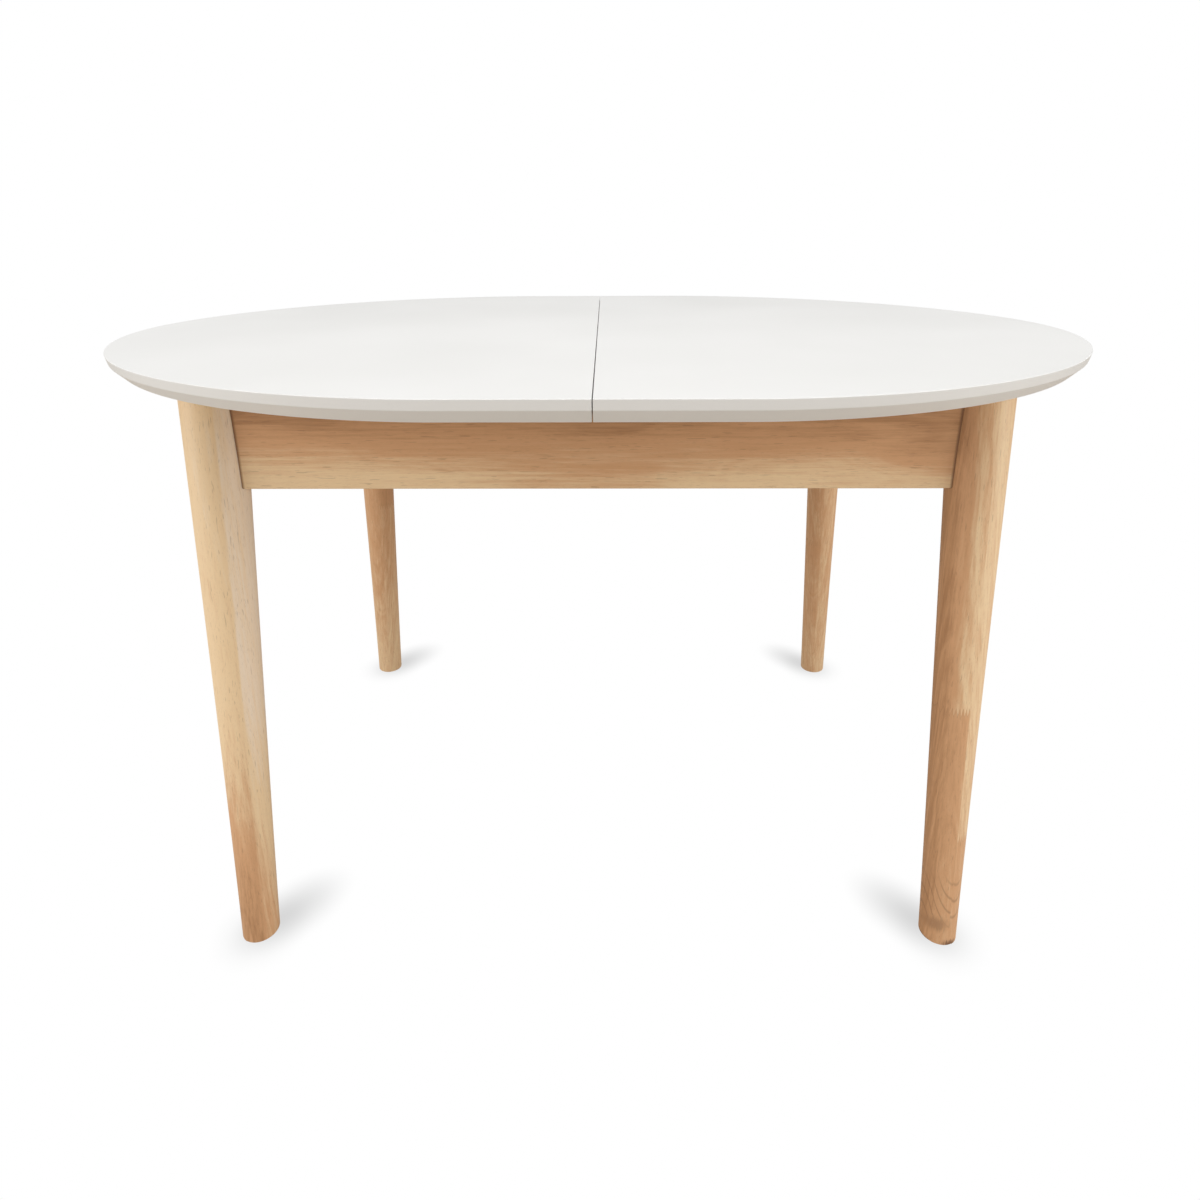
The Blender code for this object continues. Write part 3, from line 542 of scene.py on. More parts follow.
top_low, top_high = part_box("right_half_top")
TOP_Z, UNDERSIDE = top_high[2], top_low[2]
SEAM_X = top_low[0]
REACH_X = top_high[0] - TOP_STRAIGHT / 2
HALF_Y = top_high[1]


def bevel(shape, edges, width, segments, clamp=False):
    how = {"profile": 0.5, "affect": "EDGES", "clamp_overlap": clamp, "material": -1}
    bmesh.ops.bevel(shape, geom=edges, offset=width, segments=segments, **how)


def of_kind(items, kind):
    """Picks the vertices, edges or faces out of a mixed list."""
    return [item for item in items if isinstance(item, kind)]


def oval_board():
    """The whole oval board, before it is cut in two."""
    board = bmesh.new()
    disc = bmesh.ops.create_circle(board, cap_ends=True, segments=RIM_STEPS, radius=1.0)
    power = 2 / END_FULLNESS
    for vertex in disc["verts"]:
        u, v = vertex.co.x, vertex.co.y
        straight = TOP_STRAIGHT / 2 if abs(u) > 1e-6 else 0.0
        vertex.co.x = math.copysign(straight + REACH_X * abs(u) ** power, u)
        vertex.co.y = math.copysign(HALF_Y * abs(v) ** power, v)
        vertex.co.z = TOP_Z
    top = board.faces[:][0]
    under = bmesh.ops.duplicate(board, geom=[top, *top.edges, *top.verts])["geom"]
    under = of_kind(under, BMFace)
    bmesh.ops.reverse_faces(board, faces=[top if top.normal.z < 0 else under[0]])
    below = TOP_Z - UNDERSIDE - RIM_FACE
    for inward, down in ((RIM_LEAN, RIM_FACE), (RIM_UNDERCUT, below)):
        how = {"use_boundary": True, "use_even_offset": True, "thickness": inward}
        bmesh.ops.inset_region(board, faces=under, **how)
        bmesh.ops.translate(board, vec=(0.0, 0.0, -down), verts=under[0].verts)
    weld(board)
    return board


def rim_edges(board, z):
    """The edges that run round the board at one height."""
    return [e for e in board.edges if all(abs(v.co.z - z) < 1e-5 for v in e.verts)]


def round_rim(board):
    for z, width, segments in (
        (TOP_Z, TOP_ARRIS, 4),
        (TOP_Z - RIM_FACE, RIM_ARRIS, 2),
        (UNDERSIDE, RIM_ARRIS, 2),
    ):
        bevel(board, rim_edges(board, z), width, segments)


def cut_off(shape, place, out):
    """Cuts away what lies beyond a plane, closes the cut, and returns the edges round it."""
    everything = [*shape.verts, *shape.edges, *shape.faces]
    plane = {"plane_co": place, "plane_no": out, "clear_outer": True}
    cut = bmesh.ops.bisect_plane(shape, geom=everything, **plane)
    loop = of_kind(cut["geom_cut"], BMEdge)
    bmesh.ops.contextual_create(shape, geom=loop)
    return loop


def cut_at_seam(board, way):
    """Keeps one side of the board and eases the edges of the cut."""
    seam = way * SEAM_X
    cut_off(board, (seam, 0.0, 0.0), (-way, 0.0, 0.0))
    edges = [e for e in board.edges if all(abs(v.co.x - seam) < 1e-6 for v in e.verts)]
    bevel(board, edges, RIM_ARRIS, 2)


# %% [markdown]
# ### Holes
#
# A hole in a flat face needs a ring of points. Four cuts free a small square of the face, an inset keeps
# its neighbours straight, and its points are spread round a circle. The round face is then pushed in step
# by step, which gives a plain hole, a countersink or a counterbore.

# %% Boring a hole
HOLE_STEPS = 32


def flat_face_at(faces, place, out):
    for face in faces:
        if face.is_valid and face.normal.dot(out) > 0.999:
            if abs((place - face.calc_center_median()).dot(out)) < 1e-5:
                if bmesh.geometry.intersect_face_point(face, place):
                    return face
    raise ValueError(f"no flat face at {place}")


def bore(shape, place, out, steps):
    """Bores a round hole in a flat face. Each step is (radius, depth), and the first is its mouth."""
    place, out = Vector(place), Vector(out).normalized()
    shape.normal_update()
    across = Vector((1.0, 0.0, 0.0)) if abs(out.z) > 0.9 else Vector((0.0, 0.0, 1.0)).cross(out)
    up = out.cross(across)
    face = flat_face_at(shape.faces, place, out)
    half = steps[0][0] * 1.25
    for way in (across, up, -across, -up):
        plane = {"plane_co": place + way * half, "plane_no": way, "dist": 1e-7}
        part = bmesh.ops.bisect_plane(shape, geom=[face, *face.edges, *face.verts], **plane)
        parts = of_kind(part["geom"], BMFace)
        for f in parts:
            f.normal_update()
        face = flat_face_at(parts, place, out)
    bmesh.ops.inset_individual(shape, faces=[face], thickness=half * 0.05)
    bmesh.ops.subdivide_edges(shape, edges=face.edges[:], cuts=HOLE_STEPS // 4 - 1)
    ring = [loop.vert for loop in face.loops]
    first = (ring[0].co - place).normalized()
    for number, vertex in enumerate(ring):
        swing = Matrix.Rotation(2 * math.pi * number / len(ring), 3, out)
        vertex.co = place + swing @ first * steps[0][0]
    for (radius, depth), (next_radius, next_depth) in zip(steps, steps[1:]):
        face = bmesh.ops.extrude_discrete_faces(shape, faces=[face])["faces"][0]
        middle = place - out * depth
        for vertex in face.verts:
            wider = (vertex.co - middle) * (next_radius / radius)
            vertex.co = middle + wider - out * (next_depth - depth)


print("a hole is a ring of", HOLE_STEPS, "points")

# %% The half-tops
DOWEL_HOLE = 0.0043
DOWEL_HOLE_DEPTH = {"left": 0.0210, "right": 0.0137}
HOLE_EASE = 0.0004


def make_half_top(side):
    way = SIDES[side]
    board = oval_board()
    round_rim(board)
    cut_at_seam(board, way)
    deep = DOWEL_HOLE_DEPTH[side]
    for face in FACES:
        place = middle_of(f"{face}_seam_dowel")
        place.x = way * SEAM_X
        steps = ((DOWEL_HOLE + HOLE_EASE, 0.0), (DOWEL_HOLE, HOLE_EASE), (DOWEL_HOLE, deep))
        bore(board, place, (-way, 0.0, 0.0), steps)
    set_down(
        board, f"{side}_top_panel", LACQUER, f"{side}_top", [f"{side}_half_top"]
    )


for side in SIDES:
    make_half_top(side)

# %% [markdown]
# ## The legs
#
# Each leg is turned on a lathe, so here a profile that swells gently from the foot to the top is spun once
# round its axis. Only then is it leaned outwards and cut level at both ends, as a joiner would. Its grain
# runs along its axis, and its glued strips meet on lines that show as a change of tone.

# %% The legs
LEG_RINGS = 14
LEG_STEPS = 96
FOOT_ARRIS = 0.0012

LEG_WOODS = {
    ("left", "front"): {
        "strips": (((-0.52,), ()), ((-0.10,), ())),
        "glue_lines": ((-0.0138, 0.002),),
        "foot": 0.88,
        "marks": (((0.045, 0.0, 0.024), 0.002, 1.0, 0.35),),
    },
    ("right", "front"): {
        "strips": (((0.40, 0.10), (0.183,)), ((0.48, 0.12), (0.370,)), ((0.84, 0.86), (0.370,))),
        "glue_lines": ((-0.0044, 0.0004), (0.0160, 0.012)),
        "arches": (0.094, 0.027, -0.008),
        "marks": (
            ((0.362, 0.0235, 0.0112), 0.0022, 2.0, 0.7),
            ((0.633, 0.0080, 0.0290), 0.0070, 3.0, 0.30),
            ((0.037, 0.0125, 0.0195), 0.0240, 0.7, 0.46),
            ((0.002, -0.0070, 0.0224), 0.0150, 0.7, 0.93),
            ((0.005, 0.0234, -0.0020), 0.0210, 0.16, 0.85),
        ),
    },
    ("left", "back"): {
        "strips": (((0.30, 0.50), (0.41,)), ((0.40,), ())),
        "glue_lines": ((-0.006, 0.0005),),
        "foot": -0.2,
    },
    ("right", "back"): {
        "strips": (((0.35,), ()), ((0.45, 0.35), (0.33,))),
        "glue_lines": ((0.004, 0.0005),),
        "foot": -0.2,
    },
}


def lathe(profile, steps):
    """Spins a profile of (radius, height) once round the Z axis."""
    shape = bmesh.new()
    points = [shape.verts.new((radius, 0.0, height)) for radius, height in profile]
    edges = [shape.edges.new(pair) for pair in zip(points, points[1:])]
    turn = {"axis": (0.0, 0.0, 1.0), "angle": 2 * math.pi, "steps": steps, "use_merge": True}
    bmesh.ops.spin(shape, geom=[*points, *edges], cent=(0.0, 0.0, 0.0), **turn)
    weld(shape)
    bmesh.ops.recalc_face_normals(shape, faces=shape.faces)
    return shape


def leg_axis(side, face):
    """The middle of the foot on the floor, and the middle of the level cut at the top."""
    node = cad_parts[f"{face}_{side}_leg"]
    top_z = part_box(node.name)[1][2]
    rim = [v.co for v in node.data.vertices if abs(v.co.z - top_z) < 1e-5]
    head = Vector([(min(c[i] for c in rim) + max(c[i] for c in rim)) / 2 for i in range(3)])
    foot = middle_of(f"{face}_{side}_glide")
    foot.z = 0.0
    return foot, head


def leg_radius(share):
    """The radius of a leg at a share of its length, from the foot up."""
    return LEG_FOOT_RADIUS + (LEG_TOP_RADIUS - LEG_FOOT_RADIUS) * share**LEG_SWELL


def make_leg(side, face):
    foot, head = leg_axis(side, face)
    axis = head - foot
    spare = 2 * LEG_TOP_RADIUS
    shares = [i / LEG_RINGS for i in range(LEG_RINGS + 1)]
    profile = [(0.0, -spare), (LEG_FOOT_RADIUS, -spare)]
    profile += [(leg_radius(share), share * axis.length) for share in shares]
    profile += [(LEG_TOP_RADIUS, axis.length + spare), (0.0, axis.length + spare)]
    leg = lathe(profile, LEG_STEPS)
    leg.transform(Matrix.Translation(foot) @ turned_to(axis))
    low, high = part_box(f"{face}_{side}_leg")
    for z, way, ease in ((high[2], 1, RIM_ARRIS), (low[2], -1, FOOT_ARRIS)):
        bevel(leg, cut_off(leg, (0.0, 0.0, z), (0.0, 0.0, way)), ease, 3)
    wood = mix_rubberwood(f"rubberwood_{face}_{side}_leg", **LEG_WOODS[side, face])
    grain = grain_along(axis, (0.0, -1.0, 0.0), foot)
    set_down(
        leg, f"{face}_{side}_turned_leg", wood, "frame", [f"{face}_{side}_leg"], grain
    )


for side, face in LEG_WOODS:
    make_leg(side, face)

# %% [markdown]
# ## Planed boards
#
# The aprons, runners, guides and blocks are straight pieces with planed faces. Their solids are already
# right, down to the hollow ends that fit the round legs, so each is copied, its outer edges are eased with
# a small bevel, and the wood goes on with its grain along the piece's length. Where an apron meets a leg
# the wood gets painted shade, standing in for the shade that gathers in such a groove.

# %% Boards and blocks
APRON_EASE = 0.0005
EASED_ANGLE = math.radians(40)


def copy_of(node):
    """A joined copy of a plain solid, with each flat face whole."""
    shape = bmesh.new()
    shape.from_mesh(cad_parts[node].data)
    weld(shape, 2e-6)
    parts = {"verts": shape.verts, "edges": shape.edges}
    bmesh.ops.dissolve_limit(shape, angle_limit=math.radians(0.5), **parts)
    return shape


def ease_edges(shape, width, segments=3):
    """Rounds every outer edge that turns by more than EASED_ANGLE."""
    shape.normal_update()
    edges = [e for e in shape.edges if e.is_convex and e.calc_face_angle(0.0) > EASED_ANGLE]
    bevel(shape, edges, width, segments, clamp=True)


def make_apron(name, along):
    board = copy_of(name)
    ease_edges(board, APRON_EASE, 2)
    face = Vector(along).cross((0.0, 0.0, 1.0))
    grain = grain_along(along, face, middle_of(name))
    set_down(board, f"{name}_board", RUBBERWOOD, "frame", [name], grain)


RUBBERWOOD = mix_rubberwood(
    "rubberwood_apron",
    # darker towards the upper edge: partly the wood's tone, partly painted shade under the top's overhang
    fade_and_shade=(-0.05, 0.028, 0.05, 0.80),
    heart=(0.02, 0.16),
    lean=0.02,
    # painted shade in the groove where an apron meets a leg
    groove=leg_axis("right", "back"),
)
for face in FACES:
    make_apron(f"{face}_apron", (1.0, 0.0, 0.0))
for side in SIDES:
    make_apron(f"{side}_end_apron", (0.0, 1.0, 0.0))

# %% [markdown]
# ## Beech
#
# The parts that slide and brace are beech, which is hard and wears well. It is an even pinkish tan, with
# fine pores and short dark flecks where the rays of the tree are cut, and duller than the frame.

# %% Beech
def mix_beech():
    wood = Recipe("planed_beech")
    places, log = plank_layers(wood)
    bands, fibres, pores, slow = draw_figure(wood, places, log, 0.006, (0.03, 0.12), 0.01)
    flecks = wood.cloud(wood.stretch(places, 420.0, 2600.0, 2600.0), wood.add(log, 50.0))
    tone = wood.add(wood.between(bands, 0.25, 0.75), wood.between(slow, 0.2, 0.8, -0.3, 0.3))
    tone = wood.add(tone, wood.between(fibres, 0.25, 0.75, -0.2, 0.2))
    colour = wood.tint(wood.between(tone, -0.3, 1.3), (0.66, 0.44, 0.27, 1.0), (0.53, 0.32, 0.18, 1.0))
    flecks = wood.between(flecks, 0.64, 0.72, 0.0, 0.5)
    dark = wood.work_out("MAXIMUM", flecks, wood.multiply(pores, 0.25))
    colour = wood.tint(dark, colour, (0.27, 0.14, 0.07, 1.0))
    return wood.finish(
        Base_Color=colour,
        Roughness=wood.between(bands, 0.2, 0.8, 0.56, 0.68),
        Normal=wood.relief(wood.subtract(fibres, pores), 0.00005),
        IOR=1.45,
    )


BEECH = mix_beech()
print(BEECH.name, "has", len(BEECH.node_tree.nodes), "nodes")

# %% [markdown]
# ## Zinc-plated steel
#
# Bolts, screws, hinges and locks are bright zinc on steel. Barrel plating leaves a soft, cloudy sheen and
# small dents, so the roughness drifts and a fine grain scatters the light.

# %% Zinc-plated steel
def mix_zinc():
    zinc = Recipe("bright_zinc")
    drift = zinc.speckle(90.0, detail=3.0)
    fine = zinc.speckle(2400.0, detail=2.0)
    share = zinc.between(drift, 0.3, 0.7)
    colour = zinc.tint(share, (0.60, 0.61, 0.63, 1.0), (0.71, 0.71, 0.69, 1.0))
    return zinc.finish(
        Base_Color=colour,
        Metallic=1.0,
        Roughness=zinc.between(drift, 0.25, 0.75, 0.30, 0.46),
        Normal=zinc.relief(fine, 0.00002),
    )


ZINC = mix_zinc()
print(ZINC.name, "has", len(ZINC.node_tree.nodes), "nodes")

# %% [markdown]
# ## Screws
#
# All the screws have a flat countersunk head with a cross recess. The head starts as a grid of five by
# five faces. Its outline is pulled round, the faces that form a cross are pushed in and narrowed, and the
# outline goes down as a cone to the shank. Each screw is set into a hole bored for it, and the screws of
# one body are one piece.

# %% A countersunk screw
HEAD_RADIUS = 0.0036
SHANK_RADIUS = 0.0018
HEAD_LAND = 0.0003
HEAD_HEIGHT = 0.0022
RECESS_DEPTH = 0.0014
HEAD_SUNK = 0.0001
COUNTERBORE = 0.0050
SCREW_TWIST = 0.9  # with the number of faces so far, so that each screw stops at another angle


def make_screw(shape, place, out, twist):
    """Adds a screw to a shape, with its head level with a surface at a place."""
    grid = bmesh.ops.create_grid(shape, x_segments=5, y_segments=5, size=1.0)["verts"]
    levels = sorted({round(v.co.x, 4) for v in grid})
    spread = dict(zip(levels, (-1.0, -0.60, -0.15, 0.15, 0.60, 1.0)))
    for vertex in grid:
        flat = Vector((spread[round(vertex.co.x, 4)], spread[round(vertex.co.y, 4)], 0.0))
        if max(abs(flat.x), abs(flat.y)) == 1.0:
            flat.normalize()
        vertex.co = flat * HEAD_RADIUS
    faces = {face for vertex in grid for face in vertex.link_faces}
    rim = list({edge for face in faces for edge in face.edges if len(edge.link_faces) == 1})
    cross = []
    for face in faces:
        near, far = sorted(abs(x) / HEAD_RADIUS for x in face.calc_center_median()[:2])
        if near < 0.1 and far < 0.5:
            cross.append(face)
    sunk = bmesh.ops.extrude_face_region(shape, geom=cross)["geom"]
    bmesh.ops.delete(shape, geom=cross, context="FACES")
    sunk = of_kind(sunk, BMVert)
    bmesh.ops.translate(shape, vec=(0.0, 0.0, -RECESS_DEPTH), verts=sunk)
    bmesh.ops.scale(shape, vec=(0.7, 0.7, 1.0), verts=sunk)
    parts = {*grid, *sunk}
    for radius, depth in ((HEAD_RADIUS, HEAD_LAND), (SHANK_RADIUS, HEAD_HEIGHT)):
        skirt = bmesh.ops.extrude_edge_only(shape, edges=rim)["geom"]
        rim = [edge for edge in of_kind(skirt, BMEdge) if len(edge.link_faces) == 1]
        for vertex in of_kind(skirt, BMVert):
            flat = Vector((vertex.co.x, vertex.co.y, 0.0)).normalized() * radius
            vertex.co = flat - Vector((0.0, 0.0, depth))
            parts.add(vertex)
    bmesh.ops.contextual_create(shape, geom=rim)
    seat = Matrix.Translation(Vector(place) - Vector(out) * HEAD_SUNK)
    seat = seat @ turned_to(out) @ Matrix.Rotation(twist, 4, "Z")
    parts = [vertex for vertex in parts if vertex.is_valid]
    bmesh.ops.transform(shape, matrix=seat, verts=parts)


def screw_pocket(sink):
    """The steps of a countersunk hole, at the bottom of a wider bore if the screw is sunk deep."""
    wide = [(COUNTERBORE + HOLE_EASE, 0.0), (COUNTERBORE, HOLE_EASE), (COUNTERBORE, sink)]
    cone = [(HEAD_RADIUS + 0.0002, 0.0), (HEAD_RADIUS + 0.0001, HEAD_LAND), (SHANK_RADIUS, 0.0018)]
    return (wide if sink else []) + [(radius, sink + depth) for radius, depth in cone]


screws = {}


def drive_screws(shape, body, places, out, sink=0.0):
    """Bores a countersunk hole at each place in a piece and puts a screw in it."""
    out = Vector(out).normalized()
    box_of_screws = screws.setdefault(body, bmesh.new())
    for place in places:
        bore(shape, place, out, screw_pocket(sink))
        twist = SCREW_TWIST * len(box_of_screws.faces)
        make_screw(box_of_screws, Vector(place) - out * sink, out, twist)


print("a screw head is", round(2000 * HEAD_RADIUS, 1), "mm across")

# %% [markdown]
# ## Runners, stops and guides
#
# Under each half-top run two beech rails with a tongue on the outer side. The tongue slides in the groove
# of a guide screwed inside the apron, and a stop block on the rail reaches the guide when the half is out.
# The rails' screws sit deep in wide holes, because a screw through the full height would be too long.

# %% Runners, stops and guides
EASE = 0.0010
RUNNER_WIDTH = 0.021
RUNNER_SCREWS = (0.045, 0.165, 0.285, 0.400)
RUNNER_SCREW_SINK = 0.012
LIP_MIDDLE = 0.006
STOP_SCREW_SPREAD = 0.009
GUIDE_SCREW_MARGIN = 0.020


def make_block(node, along, body, width=EASE, holes=()):
    """A beech piece from its plain solid, with eased edges. Holes are (places, out, sink)."""
    block = copy_of(node)
    ease_edges(block, width)
    for places, out, sink in holes:
        drive_screws(block, body, places, out, sink)
    face = (0.0, 0.0, 1.0) if abs(along[2]) < 0.5 else (0.0, 1.0, 0.0)
    grain = grain_along(along, face, middle_of(node))
    set_down(block, f"{node}_beech", BEECH, body, [node], grain)


for side, way in SIDES.items():
    for face, facing in FACES.items():
        node = f"{side}_{face}_runner"
        low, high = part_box(node)
        inner = min(abs(low[1]), abs(high[1])) + RUNNER_WIDTH / 2
        places = [(way * x, facing * inner, low[2]) for x in RUNNER_SCREWS]
        holes = [(places, (0.0, 0.0, -1.0), RUNNER_SCREW_SINK)]
        make_block(node, (1.0, 0.0, 0.0), f"{side}_top", holes=holes)

        node = f"{side}_{face}_runner_stop"
        low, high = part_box(node)
        middle = middle_of(node)
        outer = facing * max(abs(low[1]), abs(high[1]))
        heights = (middle.z - STOP_SCREW_SPREAD, middle.z + STOP_SCREW_SPREAD)
        places = [(middle.x, outer, height) for height in heights]
        holes = [(places, (0.0, facing, 0.0), 0.0)]
        make_block(node, (0.0, 0.0, 1.0), f"{side}_top", holes=holes)

        node = f"{side}_{face}_guide"
        low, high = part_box(node)
        inner = facing * min(abs(low[1]), abs(high[1]))
        reach = (high[0] - low[0]) / 2 - GUIDE_SCREW_MARGIN
        middle = middle_of(node)
        places = [(middle.x + share * reach, inner, low[2] + LIP_MIDDLE) for share in (-1, 0, 1)]
        holes = [(places, (0.0, -facing, 0.0), 0.0)]
        make_block(node, (1.0, 0.0, 0.0), "frame", holes=holes)

# %% [markdown]
# ## Battens, bearers and corner blocks
#
# A batten across each half-top keeps the board flat. Two bearers carry the folded leaf, and a block in
# each corner ties the two aprons to the leg.

# %% Battens, bearers and corner blocks
BATTEN_SCREW_PITCH = 0.094
BEARER_SCREW_SPREAD = 0.014
LUG_SCREW_DROP = 0.0095
BLOCK_SCREW_SPREAD = 0.031

for side, way in SIDES.items():
    node = f"{side}_batten"
    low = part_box(node)[0]
    places = [(middle_of(node).x, BATTEN_SCREW_PITCH * i, low[2]) for i in (-2, -1, 0, 1, 2)]
    holes = [(places, (0.0, 0.0, -1.0), 0.0)]
    make_block(node, (0.0, 1.0, 0.0), f"{side}_top", holes=holes)

    node = f"{side}_leaf_bearer"
    low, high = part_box(node)
    lug = [v.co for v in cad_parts[node].data.vertices if abs(v.co.z - high[2]) < 1e-5]
    inner = min(abs(co.y) for co in lug)
    lug_z = high[2] - LUG_SCREW_DROP
    holes = []
    for facing in FACES.values():
        xs = [middle_of(node).x + step for step in (-BEARER_SCREW_SPREAD, BEARER_SCREW_SPREAD)]
        holes.append(([(x, facing * inner, lug_z) for x in xs], (0.0, -facing, 0.0), 0.0))
    make_block(node, (0.0, 1.0, 0.0), "frame", holes=holes)

    for face, facing in FACES.items():
        node = f"{face}_{side}_corner_block"
        nut = middle_of(f"{face}_{side}_flange_nut")
        inward = Vector((-way, -facing, 0.0)).normalized()
        along = Vector((-facing, way, 0.0)).normalized()
        verts = [v.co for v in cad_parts[node].data.vertices]
        reach = max((co - nut).dot(inward) for co in verts)
        seat = nut + inward * reach
        places = [seat + along * step for step in (-BLOCK_SCREW_SPREAD, BLOCK_SCREW_SPREAD)]
        make_block(node, tuple(along), "frame", holes=[(places, inward, 0.0)])

# %% [markdown]
# ## Bolts and nuts
#
# A hanger bolt screwed into each leg comes through the corner block and takes a flanged nut. Its thread
# is one small tooth spun up a helix: each step turns it and lifts it, and after one turn it has risen by
# the pitch, so the turns join into one surface.

# %% Bolts and nuts
BOLT_RADIUS = 0.0040
BOLT_ROOT = 0.0033
BOLT_PITCH = 0.00125
THREAD_STEPS = 24
THREAD_LENGTH = 0.015
THREAD_RUN_IN = 1.2  # turns that are cut away at the start, where the helix is thin
ROD_SLACK = 0.0001
NUT_EASE = 0.0003


def make_bolt(side, face):
    node = f"{face}_{side}_hanger_bolt"
    middle = middle_of(node)
    inward = Vector((-SIDES[side], -FACES[face], 0.0)).normalized()
    reach = max((v.co - middle).dot(inward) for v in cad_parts[node].data.vertices)
    bolt = bmesh.new()
    tooth = ((BOLT_ROOT, 0.0), (BOLT_RADIUS, 0.42), (BOLT_RADIUS, 0.58), (BOLT_ROOT, 1.0))
    points = [bolt.verts.new((radius, 0.0, share * BOLT_PITCH)) for radius, share in tooth]
    edges = [bolt.edges.new(pair) for pair in zip(points, points[1:])]
    turns = round(THREAD_LENGTH / BOLT_PITCH) + 3
    bmesh.ops.spin(
        bolt,
        geom=[*points, *edges],
        axis=(0.0, 0.0, 1.0),
        angle=2 * math.pi * turns,
        dvec=(0.0, 0.0, BOLT_PITCH / THREAD_STEPS),
        steps=THREAD_STEPS * turns,
    )
    weld(bolt, 2e-6)
    foot = THREAD_RUN_IN * BOLT_PITCH
    top = foot + THREAD_LENGTH
    cut_off(bolt, (0.0, 0.0, foot), (0.0, 0.0, -1.0))
    cut_off(bolt, (0.0, 0.0, top), (0.0, 0.0, 1.0))
    bmesh.ops.translate(bolt, vec=(0.0, 0.0, reach - top), verts=bolt.verts)
    radius = BOLT_RADIUS - ROD_SLACK
    rod = {"radius1": radius, "radius2": radius, "depth": 2 * reach - THREAD_LENGTH}
    rod = bmesh.ops.create_cone(bolt, cap_ends=True, segments=THREAD_STEPS, **rod)["verts"]
    bmesh.ops.translate(bolt, vec=(0.0, 0.0, -THREAD_LENGTH / 2), verts=rod)
    seat = Matrix.Translation(middle) @ turned_to(inward)
    bolt.transform(seat)
    set_down(bolt, f"{face}_{side}_bolt", ZINC, "frame", [node])


for side, face in CORNERS:
    make_bolt(side, face)
    node = f"{face}_{side}_flange_nut"
    nut = copy_of(node)
    ease_edges(nut, NUT_EASE, 2)
    set_down(nut, f"{face}_{side}_nut", ZINC, "frame", [node])

# %% [markdown]
# ## The folded leaf and the dowels
#
# The spare leaf is painted like the top and lies folded in half under it. Fluted beech dowels keep the
# halves level where they meet. A dowel is a round with every second point pulled in, pushed along in
# steps so that both ends get a chamfer.

# %% The folded leaf and the dowels
LEAF_ARRIS = 0.0006
DOWEL_FLUTE = 0.93
DOWEL_CHAMFER = 0.0012
DOWEL_TIP = 0.76

for level in ("lower", "upper"):
    leaf = copy_of(f"{level}_leaf")
    ease_edges(leaf, LEAF_ARRIS)
    set_down(leaf, f"{level}_leaf_panel", LACQUER, "frame", [f"{level}_leaf"])


def make_dowel(node, body):
    low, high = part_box(node)
    length, radius = high[0] - low[0], (high[2] - low[2]) / 2
    dowel = bmesh.new()
    ring = bmesh.ops.create_circle(dowel, cap_ends=True, segments=48, radius=radius)["verts"]
    for vertex in ring[::2]:
        vertex.co *= DOWEL_FLUTE
    bmesh.ops.scale(dowel, vec=(DOWEL_TIP, DOWEL_TIP, 1.0), verts=ring)
    body_length = length - 2 * DOWEL_CHAMFER
    end = dowel.faces[:][0]
    steps = ((DOWEL_CHAMFER, 1 / DOWEL_TIP), (body_length, 1.0), (DOWEL_CHAMFER, DOWEL_TIP))
    for number, (rise, grow) in enumerate(steps):
        moved = bmesh.ops.extrude_face_region(dowel, geom=[end])["geom"]
        if number > 0:
            bmesh.ops.delete(dowel, geom=[end], context="FACES_ONLY")
        end = of_kind(moved, BMFace)[0]
        bmesh.ops.scale(dowel, vec=(grow, grow, 1.0), verts=end.verts)
        bmesh.ops.translate(dowel, vec=(0.0, 0.0, rise), verts=end.verts)
    middle = middle_of(node)
    lay = Matrix.Translation((low[0], middle.y, middle.z)) @ Matrix.Rotation(math.pi / 2, 4, "Y")
    dowel.transform(lay)
    grain = grain_along((1.0, 0.0, 0.0), (0.0, 0.0, 1.0), middle)
    set_down(dowel, f"{node}_fluted", BEECH, body, [node], grain)


for face in FACES:
    make_dowel(f"{face}_seam_dowel", "left_top")
for level in ("lower", "upper"):
    make_dowel(f"{level}_leaf_dowel", "frame")

# %% [markdown]
# ## Table locks and hinges
#
# Under the front and back rim a hooked steel lever on the left half-top can swing across the seam to a
# stud on the right half. Each plate is a thin block with four countersunk screws, and its post is turned
# and riveted in. The leaf's two hinges keep their plain solids, which are right as they are.

# %% Table locks and hinges
PLATE_EASE = 0.0004
PLATE_THICKNESS = 0.002
PLATE_SCREWS = (0.0130, 0.0105)
LOCK_ARM = 0.046  # from the lever's pivot to the stud
BURIED = -0.001  # start of a post, inside the plate
BOSS_RADIUS, BOSS_HEIGHT = 0.0080, 0.0033
POST_RADIUS, POST_HEAD = 0.0040, 0.0070
STUD_RADIUS, STUD_HEAD = 0.0030, 0.0050
HEAD_THICKNESS = 0.0025


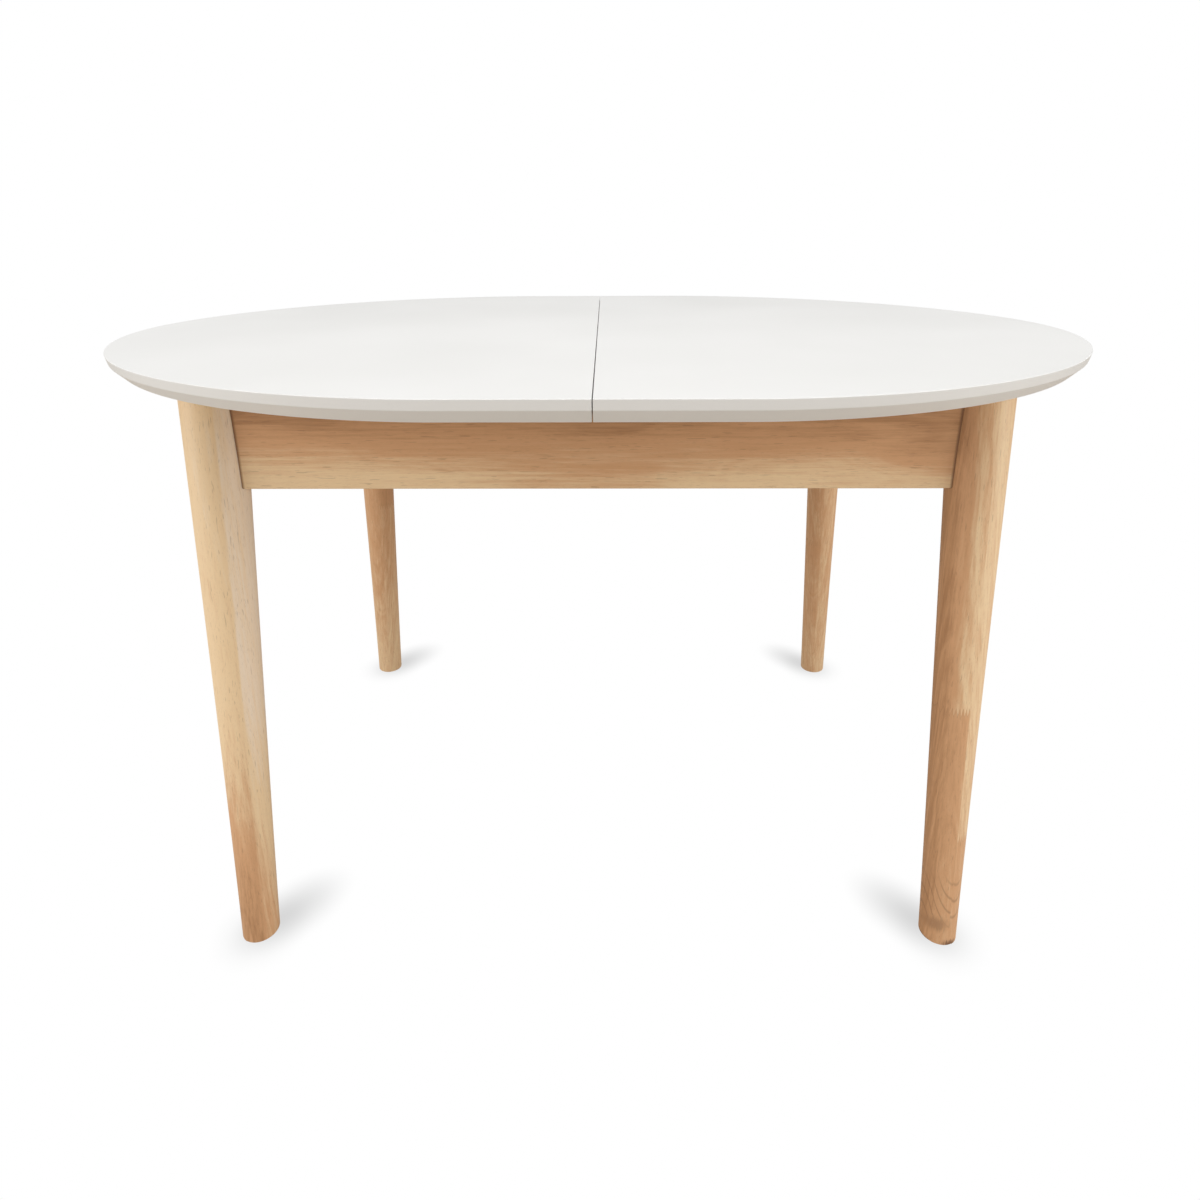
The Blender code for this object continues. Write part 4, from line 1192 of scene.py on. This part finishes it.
def lock_plate(node, posts_x, profile):
    """A screwed plate with a turned post. The profile is (radius, drop below the plate's underside)."""
    low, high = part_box(node)
    plate_z = high[2] - PLATE_THICKNESS
    middle = middle_of(node)
    plate = bmesh.new()
    bmesh.ops.create_cube(plate, size=1.0)
    extent = (high[0] - low[0], high[1] - low[1], high[2] - plate_z)
    bmesh.ops.scale(plate, vec=extent, verts=plate.verts)
    seat = (middle.x, middle.y, (high[2] + plate_z) / 2)
    bmesh.ops.translate(plate, vec=seat, verts=plate.verts)
    ease_edges(plate, PLATE_EASE, 2)
    body = "left_top" if "base" in node else "right_top"
    step_x, step_y = PLATE_SCREWS
    ways = [(i, j) for i in (-1, 1) for j in (-1, 1)]
    places = [(middle.x + i * step_x, middle.y + j * step_y, plate_z) for i, j in ways]
    drive_screws(plate, body, places, (0.0, 0.0, -1.0))
    post = lathe([(radius, -drop) for radius, drop in profile], 32)
    bmesh.ops.translate(post, vec=(posts_x, middle.y, plate_z), verts=post.verts)
    mesh = bpy.data.meshes.new("post")
    post.to_mesh(mesh)
    post.free()
    plate.from_mesh(mesh)
    bpy.data.meshes.remove(mesh)
    set_down(plate, f"{node}_plate", ZINC, body, [node])


for face in FACES:
    base, keeper, lever = (f"{face}_lock_{part}" for part in ("base", "keeper", "lever"))
    low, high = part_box(base)
    drop = high[2] - PLATE_THICKNESS - low[2]
    under_head = drop - HEAD_THICKNESS
    pivot_x = middle_of(base).x
    post = [(0.0, BURIED), (BOSS_RADIUS, BURIED), (BOSS_RADIUS, BOSS_HEIGHT - 0.0003)]
    post += [(BOSS_RADIUS - 0.0003, BOSS_HEIGHT), (POST_RADIUS, BOSS_HEIGHT)]
    post += [(POST_RADIUS, under_head), (POST_HEAD - 0.0003, under_head)]
    post += [(POST_HEAD, under_head + 0.0003), (POST_HEAD, drop - 0.0010)]
    post += [(0.0060, drop - 0.0003), (0.0035, drop), (0.0, drop)]
    lock_plate(base, pivot_x, post)
    stud = [(0.0, BURIED), (STUD_RADIUS, BURIED), (STUD_RADIUS, under_head)]
    stud += [(STUD_HEAD - 0.0002, under_head), (STUD_HEAD, under_head + 0.0003)]
    stud += [(STUD_HEAD, drop - 0.0010), (0.0042, drop - 0.0002), (0.0, drop)]
    lock_plate(keeper, pivot_x + LOCK_ARM, stud)
    hook = copy_of(lever)
    ease_edges(hook, PLATE_EASE, 2)
    set_down(hook, f"{lever}_hook", ZINC, lever, [lever])

for side in SIDES:
    for level in ("lower", "upper"):
        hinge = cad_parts[f"{side}_leaf_hinge_{level}"]
        hinge.data.materials.clear()
        hinge.data.materials.append(ZINC)
low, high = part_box("front_lock_lever")
print("the levers are", round(high[2] - low[2], 4), "metres thick")

# %% [markdown]
# ## Felt glides
#
# A dark felt disc lies under each foot. Felt is a mat of fibres, so it has no gloss, a speckled colour
# and a soft edge. A little sheen stands for the loose fibres.

# %% Felt glides
def mix_felt():
    felt = Recipe("dark_felt")
    mat = felt.speckle(1800.0, detail=3.0, roughness=0.7)
    colour = felt.tint(felt.between(mat, 0.3, 0.7), (0.045, 0.034, 0.028, 1.0), (0.13, 0.10, 0.08, 1.0))
    return felt.finish(
        Base_Color=colour,
        Roughness=0.95,
        Sheen_Weight=0.4,
        Sheen_Roughness=0.6,
        Normal=felt.relief(mat, 0.0003),
    )


FELT = mix_felt()
FELT_EDGE = 0.0006
for side, face in CORNERS:
    node = f"{face}_{side}_glide"
    low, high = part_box(node)
    radius, thick = (high[0] - low[0]) / 2, high[2] - low[2]
    inner = radius - FELT_EDGE
    profile = [(0.0, 0.0), (inner, 0.0), (radius, FELT_EDGE), (radius, thick - FELT_EDGE)]
    pad = lathe([*profile, (inner, thick), (0.0, thick)], 64)
    middle = middle_of(node)
    bmesh.ops.translate(pad, vec=(middle.x, middle.y, low[2]), verts=pad.verts)
    set_down(pad, f"{node}_pad", FELT, "frame", [node])

# %% The screws of each body
for body, shape in screws.items():
    set_down(shape, f"{body}_screws", ZINC, body)
